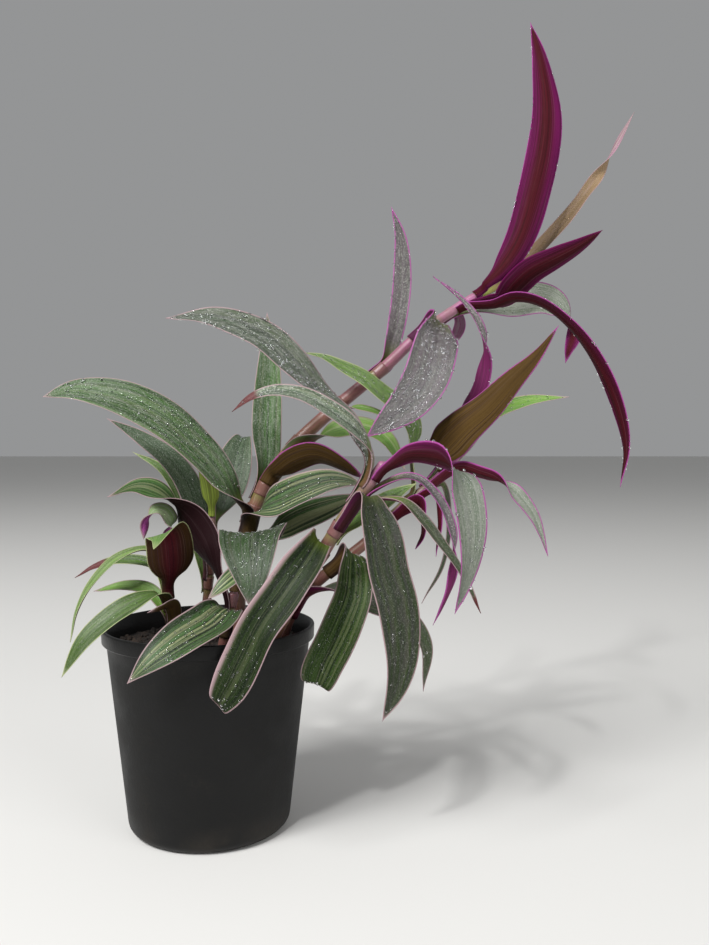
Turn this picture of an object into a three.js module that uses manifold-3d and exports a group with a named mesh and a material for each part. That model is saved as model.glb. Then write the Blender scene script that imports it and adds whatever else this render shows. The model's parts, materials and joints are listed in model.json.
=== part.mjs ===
// Potted tradescantia: a round nursery pot of soil with three leafy canes and three short shoots.
// Millimetres, +Z up. The origin is the centre of the pot's base, -Y is the side with most leaves,
// and +X is the side that the canes lean to.

import * as THREE from 'three';
import Module from 'manifold-3d';

// ---------- Driving dimensions, mm ----------

const RIM_RADIUS = 65;        // outside of the pot's lip: a 13 cm pot
const POT_HEIGHT = 124;
const BASE_RADIUS = 49;
const LIP_DEPTH = 9;          // height of the band round the rim
const LIP_PROUD = 2;          // how far the band stands out of the wall
const WALL = 1.6;
const BASE_EDGE = 6;          // radius of the pot's rounded bottom edge
const POT_SIDES = 40;
const DRAIN_COUNT = 6;
const DRAIN_RADIUS = 4;
const DRAIN_CIRCLE = 32;      // radius of the ring of drain holes
const FLOOR = 2.4;            // height of the pot's floor inside
const ROUNDING = 0.8;         // height of the small slopes at the lip and floor

const SOIL_TOP = 112;         // height of the soil, 12 mm under the rim
const SOIL_CROWN = 1;         // how much higher its middle is
const SOIL_ROUGH = 1.3;       // height of the soil's small mounds
const SOIL_SIDES = 28;
const GAP = 0.35;             // clearance between neighbouring pieces
const WALL_GAP = 0.75;        // clearance of the soil in the pot, whose flats cut inside the circle
const CLASP_GAP = 0.5;        // clearance of a leaf's clasping base round its stem

const LEAF_THICK = 0.8;
const CLASP = 1.35;           // half angle, radians, that a leaf's root wraps round its stem
const CLASP_SHORTEST = 2.5;    // height over which a leaf's base clasps its stem:
const CLASP_PER_WIDTH = 1 / 6; // this, and this share of the blade's width,
const CLASP_LONGEST = 6;       // and at most this
const ROOT_SHARE = 0.62;      // width of the blade at its root, as a share of its widest
const CHANNEL = 0.5;          // half angle of the blade's gutter-shaped section near its root
const CHANNEL_FADE = 0.4;     // share of that angle which is lost by the tip
const OPEN_BY = 0.22;         // the clasping root is open, at this share of the blade,
const WIDE_BY = 0.3;          // and has the blade's own width at this one
const TURN = [0, 0.4];         // shares of the blade between which it turns to its face,
const TWIST = [0.45, 0.8];    // and on to its tip's face
const SETTLED = 0.1;          // it lies as its face says this share further on
const TIP_WIDTH = 1.0;
const LEAF_COLUMNS = 4;
const LEAF_ROWS = 9;          // rows of the blade above its root
const ROW_CROWDING = 1.15;    // rows lie a little closer together near the root
const SPINE_SAMPLES = 160;
const STEM_SIDES = 9;
const STEM_STEP = 14;         // spacing of a stem's rings

// ---------- Finishes ----------

const finish = (color, roughness) => new THREE.MeshStandardMaterial({ color, roughness, metalness: 0 });
const FINISHES = {
  pot: finish(0x141414, 0.5),
  soil: finish(0x2b211a, 0.95),
  stem: finish(0x9a6355, 0.5),
  striped: finish(0x4f7a3a, 0.4),
  silver: finish(0x8f9a92, 0.4),
  bright: finish(0x86b35c, 0.4),
  pale: finish(0xb9cf9a, 0.45),
  blue: finish(0x4c7b62, 0.4),
  olive: finish(0x7a6a35, 0.45),
  magenta: finish(0x8e1a66, 0.4),
  dark: finish(0x4b2a2c, 0.45),
};

// ---------- Canes and shoots: the route of each from its foot in the soil ----------

const STEMS = {
  cane_tall: {
    radius: 5.0, tip: 2.8,
    route: [[13, 12, 86], [15, 12, 112], [17, 12, 150], [23, 12, 184], [33, 13, 208], [49, 14, 231],
      [67, 16, 249], [87, 18, 266], [110, 21, 285], [132, 24, 306], [150, 27, 319], [173, 30, 334]],
  },
  cane_front: {
    radius: 4.9, tip: 2.8,
    route: [[33, -16, 86], [38, -22, 112], [56, -32, 148], [73, -42, 175], [81, -45, 188],
      [90, -48, 202], [98, -50, 212], [107, -52, 225]],
  },
  cane_rear: {
    radius: 4.0, tip: 2.4,
    route: [[40, 10, 86], [44, 10, 112], [54, 9, 136], [68, 7, 150], [84, 5, 163], [101, 4, 177],
      [118, 6, 194], [134, 8, 207], [146, 10, 217], [156, 11, 229]],
  },
  shoot_left: {
    radius: 3.4, tip: 1.8,
    route: [[-15, -8, 86], [-18, -8, 112], [-22, -9, 130], [-24, -9, 145], [-25, -8, 174]],
  },
  shoot_middle: {
    radius: 3.2, tip: 2.2,
    route: [[9, -22, 86], [11, -22, 112], [15, -22, 130], [18, -21, 146], [20, -20, 158]],
  },
  shoot_back: {
    radius: 3.2, tip: 1.8,
    route: [[-8, 30, 86], [-8, 30, 112], [-6, 29, 140], [-3, 27, 165], [-2, 27, 199]],
  },
};

// ---------- Leaves ----------
// root is the height at which the leaf leaves its stem, path its midrib from there to the tip and
// width the blade's widest. face is where its upper side looks once it has turned there, between the
// two shares of its length in turn, and tip where it looks after twist. Without a face the blade keeps
// the side that it has at its root. belly is where along the blade it is widest, blunt how full its
// tip is, wide the share by which it opens to its own width, channel the half angle of its gutter
// shape, and clasp the half angle that its base wraps round the stem, less where leaves crowd.

const LEAVES = [
  { name: 'leaf_tall_low_left', stem: 'cane_tall', root: 190, width: 26, finish: 'striped',
    face: [0, -0.75, 0.65], turn: [0, 0.2], belly: 0.52, blunt: 2.6,
    path: [[16, 3, 200], [5, -3, 219], [-7, -7, 233], [-24, -12, 249], [-42, -15, 259],
      [-61, -17, 265], [-79, -18, 267], [-96, -18, 263]] },
  { name: 'leaf_tall_low_front', stem: 'cane_tall', root: 155, width: 41, finish: 'blue',
    face: [0, -0.85, 0.5],
    path: [[28, -13, 174], [31, -30, 183], [31, -46, 179], [33, -58, 164], [33, -64, 145]] },
  { name: 'leaf_tall_low_right', stem: 'cane_tall', root: 170, width: 21, finish: 'striped',
    face: [0, -0.8, 0.5],
    path: [[31, 9, 173], [54, 1, 187], [77, -6, 197], [95, -11, 205]] },
  { name: 'leaf_tall_striped', stem: 'cane_tall', root: 181, width: 23, finish: 'striped',
    face: [0, -0.85, 0.5],
    path: [[30, -2, 193], [45, -11, 201], [60, -18, 208], [75, -22, 213], [87, -25, 213],
      [95, -26, 210]] },
  { name: 'leaf_tall_upright', stem: 'cane_tall', root: 204, width: 20, finish: 'bright',
    face: [0, -1, 0.1],
    path: [[33, 22, 222], [33, 27, 244], [34, 30, 274], [34, 31, 302], [33, 31, 321]] },
  { name: 'leaf_tall_olive', stem: 'cane_tall', root: 215, width: 19, finish: 'olive',
    face: [0, 0.8, 0.6],
    path: [[42, 2, 217], [52, -4, 224], [66, -10, 228], [81, -14, 223], [96, -16, 214]] },
  { name: 'leaf_tall_pale', stem: 'cane_tall', root: 233, width: 19, finish: 'pale',
    face: [0, -0.6, 0.7],
    path: [[62, 5, 236], [78, 2, 243], [95, 0, 245], [109, -3, 238], [121, -6, 219]] },
  { name: 'leaf_tall_small', stem: 'cane_tall', root: 258, width: 8, finish: 'pale',
    face: [0, -0.5, 0.8],
    path: [[88, 8, 258], [100, 6, 256], [109, 5, 252], [116, 4, 245]] },
  { name: 'leaf_tall_pink_edged', stem: 'cane_tall', root: 280, width: 13, finish: 'silver',
    face: [0.1, -1, 0], belly: 0.5,
    path: [[110, 26, 288], [115, 29, 303], [119, 31, 323], [121, 33, 346], [120, 34, 370],
      [114, 34, 390]] },
  { name: 'leaf_tall_silver', stem: 'cane_tall', root: 305, width: 30, finish: 'silver',
    face: [-0.15, -0.95, 0.25], belly: 0.5,
    path: [[142, 12, 313], [141, 4, 302], [138, -5, 288], [133, -11, 273], [124, -15, 260],
      [112, -18, 250], [97, -21, 239]] },
  { name: 'leaf_tall_magenta', stem: 'cane_tall', root: 313, width: 10, finish: 'magenta',
    clasp: 0.4,
    belly: 0.6, wide: 0.7,
    path: [[152, 35, 321], [157, 37, 320], [159, 38, 315], [157, 38, 308], [150, 38, 299]] },
  { name: 'leaf_head_right_droop', stem: 'cane_tall', root: 325, width: 14, finish: 'magenta',
    face: [0.1, 0.15, 1], clasp: 0.95, tip: [0.8, 0.5, 0.2], twist: [0.35, 0.7],
    path: [[178, 17, 323], [191, 9, 326], [206, 2, 321], [222, -3, 307], [238, -7, 284],
      [250, -8, 257], [255, -8, 232], [252, -8, 209]] },
  { name: 'leaf_head_back_droop', stem: 'cane_tall', root: 320, width: 25, finish: 'silver',
    face: [0, -1, 0.2], clasp: 0.95, tip: [0.3, 0.8, 0.3], twist: [0.6, 0.96],
    path: [[179, 44, 329], [196, 51, 332], [220, 56, 333], [235, 59, 324], [240, 61, 311],
      [237, 62, 299], [235, 62, 291]] },
  { name: 'leaf_head_low', stem: 'cane_tall', root: 329, width: 19, finish: 'magenta', clasp: 0.95,
    face: [-0.25, 0.9, 0.3], wide: 0.12,
    path: [[185, 26, 327], [192, 15, 335], [200, 7, 342], [214, 2, 349], [227, 0, 356],
      [242, -2, 366]] },
  { name: 'leaf_head_tall', stem: 'cane_tall', root: 335, width: 22, finish: 'magenta',
    belly: 0.45, clasp: 0.95,
    face: [0.1, 1, -0.1], wide: 0.14,
    path: [[173, 24, 337], [183, 21, 347], [195, 20, 366], [204, 19, 395], [210, 19, 422],
      [212, 20, 448], [209, 23, 477], [203, 28, 506]] },
  { name: 'leaf_head_thin', stem: 'cane_tall', root: 333, width: 13, finish: 'magenta',
    face: [-0.6, -0.7, 0.4], belly: 0.25, clasp: 0.95, wide: 0.15, tip: [0.5, 0.85, 0],
    twist: [0.58, 0.94],
    path: [[187, 36, 342], [209, 41, 361], [235, 45, 390], [255, 46, 419], [276, 46, 456]] },
  { name: 'leaf_front_hanging_left', stem: 'cane_front', root: 168, width: 24, finish: 'striped',
    face: [-0.2, -0.9, 0.3], blunt: 8,
    path: [[70, -52, 181], [62, -60, 169], [51, -66, 153], [39, -70, 136], [30, -73, 118],
      [23, -75, 104], [18, -74, 96], [16, -67, 92]] },
  { name: 'leaf_front_low_right', stem: 'cane_front', root: 184, width: 13, finish: 'bright',
    face: [0, -0.7, 0.7],
    path: [[89, -38, 189], [102, -34, 198], [115, -32, 206], [126, -32, 212]] },
  { name: 'leaf_front_hanging_middle', stem: 'cane_front', root: 192, width: 23, finish: 'silver',
    face: [0.1, -1, 0.1], clasp: 0.95, blunt: 2.8,
    path: [[97, -61, 206], [101, -68, 196], [105, -72, 183], [108, -74, 167], [113, -75, 149],
      [115, -74, 132], [115, -73, 116], [112, -71, 101], [105, -69, 84]] },
  { name: 'leaf_front_dark', stem: 'cane_front', root: 204, width: 12, finish: 'dark',
    face: [0.3, -0.3, 0.9], clasp: 0.95,
    path: [[115, -54, 203], [127, -58, 193], [137, -62, 180], [145, -64, 169], [153, -64, 155],
      [159, -64, 142]] },
  { name: 'leaf_front_silver', stem: 'cane_front', root: 205, width: 24, finish: 'silver',
    face: [0.2, -0.8, 0.55], clasp: 0.95, belly: 0.55, turn: [0.38, 0.64],
    path: [[97, -46, 225], [92, -44, 237], [85, -43, 248], [75, -42, 258], [66, -42, 268],
      [55, -43, 280], [37, -44, 296], [11, -44, 306], [-17, -43, 306]] },
  { name: 'leaf_front_droop', stem: 'cane_front', root: 209, width: 8, finish: 'silver',
    face: [0.2, -0.5, 0.85], clasp: 0.95, tip: [-0.4, 0.8, 0.3], twist: [0.5, 0.86],
    path: [[117, -50, 216], [126, -49, 215], [134, -49, 208], [140, -49, 199], [145, -49, 185],
      [146, -48, 169], [144, -46, 153], [139, -44, 140], [135, -42, 131]] },
  { name: 'leaf_front_arching_left', stem: 'cane_front', root: 213, width: 13, finish: 'bright',
    face: [0.1, -0.75, 0.65], clasp: 0.95,
    path: [[98, -55, 231], [90, -63, 243], [75, -69, 254], [61, -71, 261], [47, -71, 263],
      [35, -70, 260], [24, -68, 252]] },
  { name: 'leaf_front_magenta_arch', stem: 'cane_front', root: 220, width: 20,
    finish: 'silver', clasp: 0.95,
    face: [-0.1, 0.95, 0.3], turn: [0, 0.1], tip: [0.4, -0.88, 0.25], twist: [0.34, 0.54],
    path: [[111, -58, 223], [119, -66, 228], [129, -78, 228], [136, -88, 226], [143, -95, 219],
      [147, -99, 206], [149, -101, 191], [148, -101, 175], [145, -99, 161], [141, -97, 148]] },
  { name: 'leaf_rear_low_right', stem: 'cane_rear', root: 132, width: 19, finish: 'silver',
    face: [0, -0.7, 0.7],
    path: [[60, -2, 141], [78, -2, 145], [100, 1, 137], [120, 4, 128], [134, 4, 109], [133, 4, 80]] },
  { name: 'leaf_rear_hanging', stem: 'cane_rear', root: 158, width: 24, finish: 'striped',
    face: [0, -1, 0.2], blunt: 8, belly: 0.62,
    path: [[88, -10, 169], [90, -22, 157], [89, -29, 145], [84, -34, 132], [78, -36, 119],
      [72, -36, 107], [68, -34, 96], [68, -27, 93]] },
  { name: 'leaf_rear_pink_small', stem: 'cane_rear', root: 190, width: 12, finish: 'magenta',
    clasp: 0.95, blunt: 5,
    path: [[130, -5, 199], [131, -8, 189], [131, -9, 180], [127, -9, 171]] },
  { name: 'leaf_rear_pink_thin', stem: 'cane_rear', root: 196, width: 6, finish: 'magenta',
    clasp: 0.95,
    path: [[139, -1, 206], [142, -5, 188], [140, -5, 166]] },
  { name: 'leaf_rear_grey_thin', stem: 'cane_rear', root: 201, width: 8, finish: 'silver',
    clasp: 0.95,
    path: [[145, 18, 210], [150, 20, 187], [146, 19, 158], [133, 18, 133]] },
  { name: 'leaf_rear_arching_left', stem: 'cane_rear', root: 202, width: 17, finish: 'bright',
    face: [0.2, -0.7, 0.7], clasp: 0.95,
    path: [[125, 5, 224], [125, 3, 234], [126, 1, 243], [121, 1, 255], [108, 1, 265], [95, 2, 276],
      [82, 3, 283], [70, 3, 289], [58, 4, 292]] },
  { name: 'leaf_rear_magenta', stem: 'cane_rear', root: 210, width: 12, finish: 'magenta',
    face: [0.1, 0.55, 0.83], tip: [0.35, -0.85, 0.35], clasp: 0.95, twist: [0.38, 0.6],
    path: [[155, 3, 220], [167, -1, 217], [180, -3, 212], [190, -4, 204], [200, -4, 191],
      [205, -4, 179], [209, -4, 166]] },
  { name: 'leaf_rear_twisted', stem: 'cane_rear', root: 209, width: 12, finish: 'silver',
    face: [0.5, 0.85, 0], tip: [0.75, -0.6, 0.2], clasp: 0.95, twist: [0.52, 0.72], channel: 0.8,
    path: [[157, 23, 243], [162, 16, 257], [168, 11, 270], [171, 9, 284], [171, 7, 296],
      [167, 5, 310], [158, 3, 322], [148, 1, 331], [138, 0, 338]] },
  { name: 'leaf_rear_right', stem: 'cane_rear', root: 219, width: 12, finish: 'bright',
    face: [0, -0.8, 0.6], clasp: 0.95,
    path: [[159, 22, 232], [177, 26, 253], [201, 29, 263], [230, 30, 266]] },
  { name: 'leaf_rear_olive', stem: 'cane_rear', root: 220, width: 28, finish: 'olive',
    clasp: 0.95, belly: 0.12, blunt: 1.4, wide: 0.25,
    path: [[138, 2, 226], [145, -3, 234], [155, -9, 245], [170, -14, 258], [184, -19, 273],
      [197, -25, 287], [209, -29, 304]] },
  { name: 'leaf_left_low_front', stem: 'shoot_left', root: 122, width: 10, finish: 'pale',
    path: [[-19, -20, 138], [-24, -30, 138], [-30, -36, 137]] },
  { name: 'leaf_left_pale', stem: 'shoot_left', root: 129, width: 11, finish: 'pale',
    face: [0, -0.6, 0.8],
    path: [[-36, 0, 143], [-54, 6, 146], [-75, 10, 142]] },
  { name: 'leaf_left_green', stem: 'shoot_left', root: 138, width: 15, finish: 'bright',
    face: [0, -0.7, 0.7],
    path: [[-27, -22, 145], [-40, -29, 141], [-53, -35, 133], [-66, -40, 121], [-78, -42, 101]] },
  { name: 'leaf_left_brown_tip', stem: 'shoot_left', root: 145, width: 10, finish: 'dark',
    face: [0, -0.5, 0.8],
    path: [[-33, 3, 158], [-57, 9, 162], [-75, 12, 157], [-88, 14, 150]] },
  { name: 'leaf_left_hood', stem: 'shoot_left', root: 147, width: 28, finish: 'dark', belly: 0.3,
    blunt: 4, channel: 0.3, wide: 0.4,
    path: [[-19, -22, 159], [-18, -28, 170], [-18, -33, 179], [-18, -41, 184], [-19, -49, 182],
      [-22, -54, 176]] },
  { name: 'leaf_left_yellow', stem: 'shoot_left', root: 158, width: 12, finish: 'bright',
    face: [-0.4, -0.4, 0.8],
    path: [[-36, -8, 170], [-53, -10, 166], [-69, -12, 150], [-78, -14, 133], [-82, -14, 115]] },
  { name: 'leaf_left_magenta', stem: 'shoot_left', root: 170, width: 14, finish: 'magenta',
    face: [0, -0.5, 0.85], turn: [0.1, 0.4], tip: [-0.3, 0.9, 0.2], twist: [0.45, 0.98],
    path: [[-21, -13, 185], [-24, -15, 193], [-29, -18, 195], [-34, -20, 189], [-36, -20, 178]] },
  { name: 'leaf_middle_wide', stem: 'shoot_middle', root: 126, width: 28, finish: 'striped',
    face: [-0.1, -0.75, 0.65],
    path: [[16, -36, 139], [8, -52, 134], [-5, -67, 128], [-18, -75, 119], [-31, -78, 107]] },
  { name: 'leaf_middle_dark', stem: 'shoot_middle', root: 139, width: 26, finish: 'dark',
    face: [0.3, 0.8, 0.4], tip: [0, -0.6, 0.8],
    path: [[6, -21, 161], [-5, -16, 182], [-20, -15, 200], [-39, -15, 209], [-59, -14, 203]] },
  { name: 'leaf_middle_small', stem: 'shoot_middle', root: 152, width: 14, finish: 'striped',
    face: [-0.3, -0.8, 0.5],
    path: [[24, -29, 160], [18, -36, 156], [6, -41, 146]] },
  { name: 'leaf_back_left', stem: 'shoot_back', root: 152, width: 17, finish: 'bright',
    face: [0.1, -0.8, 0.6],
    path: [[-11, 25, 183], [-17, 26, 207], [-29, 28, 224], [-49, 31, 239], [-72, 32, 252]] },
  { name: 'leaf_back_yellow_tip', stem: 'shoot_back', root: 142, width: 10, finish: 'bright',
    face: [0.1, -0.8, 0.6],
    path: [[-15, 44, 168], [-25, 54, 193], [-42, 60, 218], [-63, 62, 230]] },
  { name: 'leaf_back_wide', stem: 'shoot_back', root: 184, width: 26, finish: 'blue', clasp: 0.95,
    face: [0, -0.9, 0.4],
    path: [[3, 38, 192], [7, 49, 214], [10, 60, 231], [12, 70, 240], [12, 82, 239]] },
  { name: 'leaf_back_young', stem: 'shoot_back', root: 193, width: 13, finish: 'pale', clasp: 0.95,
    path: [[-3, 22, 200], [-5, 21, 212], [-10, 20, 222]] },
];

// ---------- Geometry helpers ----------

const vec = ([x, y, z]) => new THREE.Vector3(x, y, z);
const smooth = (t) => THREE.MathUtils.smoothstep(t, 0, 1);

function across(direction, tangent) {
  // The part of a direction that is square to a tangent, as a unit vector.
  return direction.clone().addScaledVector(tangent, -direction.dot(tangent)).normalize();
}

function solid(points, faces) {
  // A closed mesh, turned right side out where its triangles enclose a negative volume.
  let volume = 0;
  for (const [a, b, c] of faces) {
    volume += points[a].dot(points[b].clone().cross(points[c]));
  }
  const index = volume > 0 ? faces.flat() : faces.flatMap(([a, b, c]) => [a, c, b]);
  const geometry = new THREE.BufferGeometry();
  const places = points.flatMap((p) => p.toArray());
  geometry.setAttribute('position', new THREE.Float32BufferAttribute(places, 3));
  geometry.setIndex(index);
  geometry.computeVertexNormals();
  return geometry;
}

function skin(rings, cap) {
  // Joins rings of equal length into a tube and closes both ends. The ring's two halves are split
  // into triangles as mirror images, so that the two faces of a thin blade stay parallel.
  const count = rings[0].length;
  const faces = [];
  for (let row = 0; row + 1 < rings.length; row++) {
    for (let i = 0; i < count; i++) {
      const j = (i + 1) % count;
      const a = row * count + i;
      const b = row * count + j;
      if (i < count / 2) faces.push([a, b, b + count], [a, b + count, a + count]);
      else faces.push([a, b, a + count], [b, b + count, a + count]);
    }
  }
  const last = (rings.length - 1) * count;
  for (const [a, b, c] of cap(count)) {
    faces.push([a, c, b], [last + a, last + b, last + c]);
  }
  return solid(rings.flat(), faces);
}

function fanCap(count) {
  const faces = [];
  for (let i = 1; i + 1 < count; i++) {
    faces.push([0, i, i + 1]);
  }
  return faces;
}

function stripCap(count) {
  // Closes a ring that runs out along one face of a blade and back along the other.
  const faces = [];
  for (let i = 0; i < count / 2 - 1; i++) {
    const k = count - 1 - i;
    faces.push([i, i + 1, k - 1], [i, k - 1, k]);
  }
  return faces;
}

// ---------- Stems ----------

function stemCurve(stem) {
  return new THREE.CatmullRomCurve3(stem.route.map(vec), false, 'centripetal');
}

function stemRadius(stem, u) {
  return THREE.MathUtils.lerp(stem.radius, stem.tip, u * u);
}

function stemGeometry(stem, grow = 0) {
  // A round cane along its route; grow makes the plain hole that it stands in.
  const curve = stemCurve(stem);
  const steps = Math.round(curve.getLength() / STEM_STEP);
  const rings = [];
  for (let k = 0; k <= steps; k++) {
    const u = k / steps;
    const tangent = curve.getTangentAt(u);
    const side = across(new THREE.Vector3(0, 1, 0), tangent);
    const other = tangent.clone().cross(side);
    const centre = curve.getPointAt(u);
    const radius = stemRadius(stem, u) + grow;
    const ring = [];
    for (let i = 0; i < STEM_SIDES; i++) {
      const angle = (2 * Math.PI * i) / STEM_SIDES;
      ring.push(centre.clone()
        .addScaledVector(side, radius * Math.cos(angle))
        .addScaledVector(other, radius * Math.sin(angle)));
    }
    rings.push(ring);
  }
  return skin(rings, fanCap);
}

function placeAtHeight(curve, height) {
  // The place along a rising stem at which it reaches a height.
  let low = 0;
  let high = 1;
  for (let k = 0; k < 40; k++) {
    const middle = (low + high) / 2;
    if (curve.getPointAt(middle).z < height) low = middle;
    else high = middle;
  }
  return low;
}

// ---------- Leaves ----------

function bladeWidth(t, { belly = 0.42, blunt = 2.1 }) {
  // Width of the blade from root (0) to tip (1), as a share of its widest, which is at the belly.
  if (t < belly) return ROOT_SHARE + (1 - ROOT_SHARE) * Math.sin((Math.PI / 2) * (t / belly));
  const q = (t - belly) / (1 - belly);
  return Math.max(0, 1 - q ** blunt);
}

function leafSpine(leaf) {
  // The midrib: up the stem inside the clasping base, then out along the leaf's path.
  const stem = STEMS[leaf.stem];
  const curve = stemCurve(stem);
  const place = placeAtHeight(curve, leaf.root);
  const clasp = Math.min(CLASP_LONGEST, CLASP_SHORTEST + CLASP_PER_WIDTH * leaf.width);
  const foot = place - clasp / curve.getLength();
  const tangent = curve.getTangentAt(place);
  const centre = curve.getPointAt(place);
  const outward = across(vec(leaf.path[0]).sub(centre), tangent);
  const wrap = leaf.clasp ?? CLASP;
  const radius = (stemRadius(stem, foot) + CLASP_GAP) / Math.cos(wrap / LEAF_COLUMNS) + LEAF_THICK / 2;
  const footCentre = curve.getPointAt(foot);
  const start = footCentre.addScaledVector(across(outward, curve.getTangentAt(foot)), radius);
  const leave = centre.clone().addScaledVector(outward, radius);
  const spine = new THREE.CatmullRomCurve3([start, leave, ...leaf.path.map(vec)], false, 'centripetal');
  return { spine, outward, radius, wrap, claspShare: clasp / spine.getLength() };
}

function leafFrames(leaf, rows) {
  // Points along the midrib, each with its tangent, the way its upper side looks and its section.
  const { spine, outward, radius, wrap, claspShare } = leafSpine(leaf);
  const tangents = [];
  const normals = [];
  let normal = across(outward.clone().negate(), spine.getTangentAt(0));
  for (let k = 0; k <= SPINE_SAMPLES; k++) {
    const tangent = spine.getTangentAt(k / SPINE_SAMPLES);
    normal = across(normal, tangent);
    tangents.push(tangent);
    normals.push(normal);
  }
  const turnTo = (want, k) => {
    const goal = across(vec(want), tangents[k]);
    return Math.atan2(normals[k].clone().cross(goal).dot(tangents[k]), normals[k].dot(goal));
  };
  const [turnFrom, turnBy] = leaf.turn ?? TURN;
  const [twistFrom, twistBy] = leaf.twist ?? TWIST;
  const middle = leaf.face ? turnTo(leaf.face, Math.round(SPINE_SAMPLES * (turnBy + SETTLED))) : 0;
  const end = leaf.tip ? turnTo(leaf.tip, Math.round(SPINE_SAMPLES * (1 + twistBy) / 2)) : middle;
  const shares = [0, claspShare / 2, claspShare];
  for (let k = 1; k <= rows; k++) {
    shares.push(claspShare + (1 - claspShare) * (k / rows) ** ROW_CROWDING);
  }
  return shares.map((share) => {
    const k = Math.round(share * SPINE_SAMPLES);
    const t = Math.max(0, (share - claspShare) / (1 - claspShare));
    const ahead = smooth((t - turnFrom) / (turnBy - turnFrom));
    const beyond = smooth((t - twistFrom) / (twistBy - twistFrom));
    const turn = middle * ahead + (end - middle) * beyond;
    const open = smooth(t / OPEN_BY);
    const blade = Math.max(TIP_WIDTH, leaf.width * bladeWidth(t, leaf));
    const angle = THREE.MathUtils.lerp(wrap, (leaf.channel ?? CHANNEL) * (1 - CHANNEL_FADE * t), open);
    const arc = THREE.MathUtils.lerp(2 * wrap * radius, blade, smooth(t / (leaf.wide ?? WIDE_BY)));
    return {
      point: spine.getPointAt(share),
      tangent: tangents[k],
      up: normals[k].clone().applyAxisAngle(tangents[k], turn),
      angle,
      bend: arc / (2 * angle),
    };
  });
}

function leafRing(frame) {
  const side = frame.tangent.clone().cross(frame.up);
  const centre = frame.point.clone().addScaledVector(frame.up, frame.bend);
  const face = (radius) => {
    const points = [];
    for (let i = 0; i <= LEAF_COLUMNS; i++) {
      const angle = frame.angle * ((2 * i) / LEAF_COLUMNS - 1);
      points.push(centre.clone()
        .addScaledVector(frame.up, -radius * Math.cos(angle))
        .addScaledVector(side, radius * Math.sin(angle)));
    }
    return points;
  };
  const upper = face(frame.bend - LEAF_THICK / 2);
  const under = face(frame.bend + LEAF_THICK / 2);
  return [...upper, ...under.reverse()];
}

function leafGeometry(leaf) {
  return skin(leafFrames(leaf, LEAF_ROWS).map(leafRing), stripCap);
}

// ---------- Pot and soil ----------

const wasm = await Module();
wasm.setup();

function toManifold(geometry) {
  const vertProperties = new Float32Array(geometry.attributes.position.array);
  const triVerts = new Uint32Array(geometry.index.array);
  return new wasm.Manifold(new wasm.Mesh({ numProp: 3, vertProperties, triVerts }));
}

function toGeometry(manifold) {
  const mesh = manifold.getMesh();
  const geometry = new THREE.BufferGeometry();
  geometry.setAttribute('position', new THREE.BufferAttribute(mesh.vertProperties, 3));
  geometry.setIndex(new THREE.BufferAttribute(mesh.triVerts, 1));
  geometry.computeVertexNormals();
  return geometry;
}

function turned(profile, sides, lift = () => 0) {
  // A profile of [radius, height] pairs from axis to axis, turned round the Z axis.
  const points = [new THREE.Vector3(0, 0, profile[0][1])];
  const inner = profile.slice(1, -1);
  const faces = [];
  for (const [radius, height] of inner) {
    for (let i = 0; i < sides; i++) {
      const angle = (2 * Math.PI * i) / sides;
      const x = radius * Math.cos(angle);
      const y = radius * Math.sin(angle);
      points.push(new THREE.Vector3(x, y, height + lift(x, y, height)));
    }
  }
  const top = points.length;
  points.push(new THREE.Vector3(0, 0, profile.at(-1)[1]));
  for (let i = 0; i < sides; i++) {
    const j = (i + 1) % sides;
    faces.push([0, 1 + j, 1 + i]);
    for (let row = 0; row + 1 < inner.length; row++) {
      const a = 1 + row * sides;
      const b = a + sides;
      faces.push([a + i, a + j, b + j], [a + i, b + j, b + i]);
    }
    const a = 1 + (inner.length - 1) * sides;
    faces.push([a + i, a + j, top]);
  }
  return solid(points, faces);
}

function wallRadius(height) {
  return THREE.MathUtils.lerp(BASE_RADIUS, RIM_RADIUS - LIP_PROUD, height / POT_HEIGHT);
}

function potGeometry() {
  const lipFoot = POT_HEIGHT - LIP_DEPTH;
  const edge = [];
  for (let k = 0; k <= 4; k++) {
    const angle = (Math.PI / 2) * (k / 4);
    const height = BASE_EDGE * (1 - Math.cos(angle));
    edge.push([wallRadius(height) - BASE_EDGE * (1 - Math.sin(angle)), height]);
  }
  const inner = (height) => wallRadius(height) - WALL;
  const profile = [
    [0, 0], ...edge,
    [wallRadius(lipFoot), lipFoot], [RIM_RADIUS - ROUNDING, lipFoot + ROUNDING],
    [RIM_RADIUS, POT_HEIGHT - ROUNDING], [RIM_RADIUS - ROUNDING, POT_HEIGHT],
    [RIM_RADIUS - ROUNDING - WALL, POT_HEIGHT], [inner(lipFoot), lipFoot],
    [inner(BASE_EDGE) - 1, BASE_EDGE], [inner(BASE_EDGE) - 4, FLOOR], [0, FLOOR],
  ];
  let pot = toManifold(turned(profile, POT_SIDES));
  for (let i = 0; i < DRAIN_COUNT; i++) {
    const angle = (2 * Math.PI * (i + 0.5)) / DRAIN_COUNT;
    const hole = new THREE.CylinderGeometry(DRAIN_RADIUS, DRAIN_RADIUS, 4 * WALL, 10);
    hole.rotateX(Math.PI / 2);
    hole.translate(DRAIN_CIRCLE * Math.cos(angle), DRAIN_CIRCLE * Math.sin(angle), WALL);
    pot = pot.subtract(toManifold(welded(hole)));
  }
  return toGeometry(pot);
}

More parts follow.
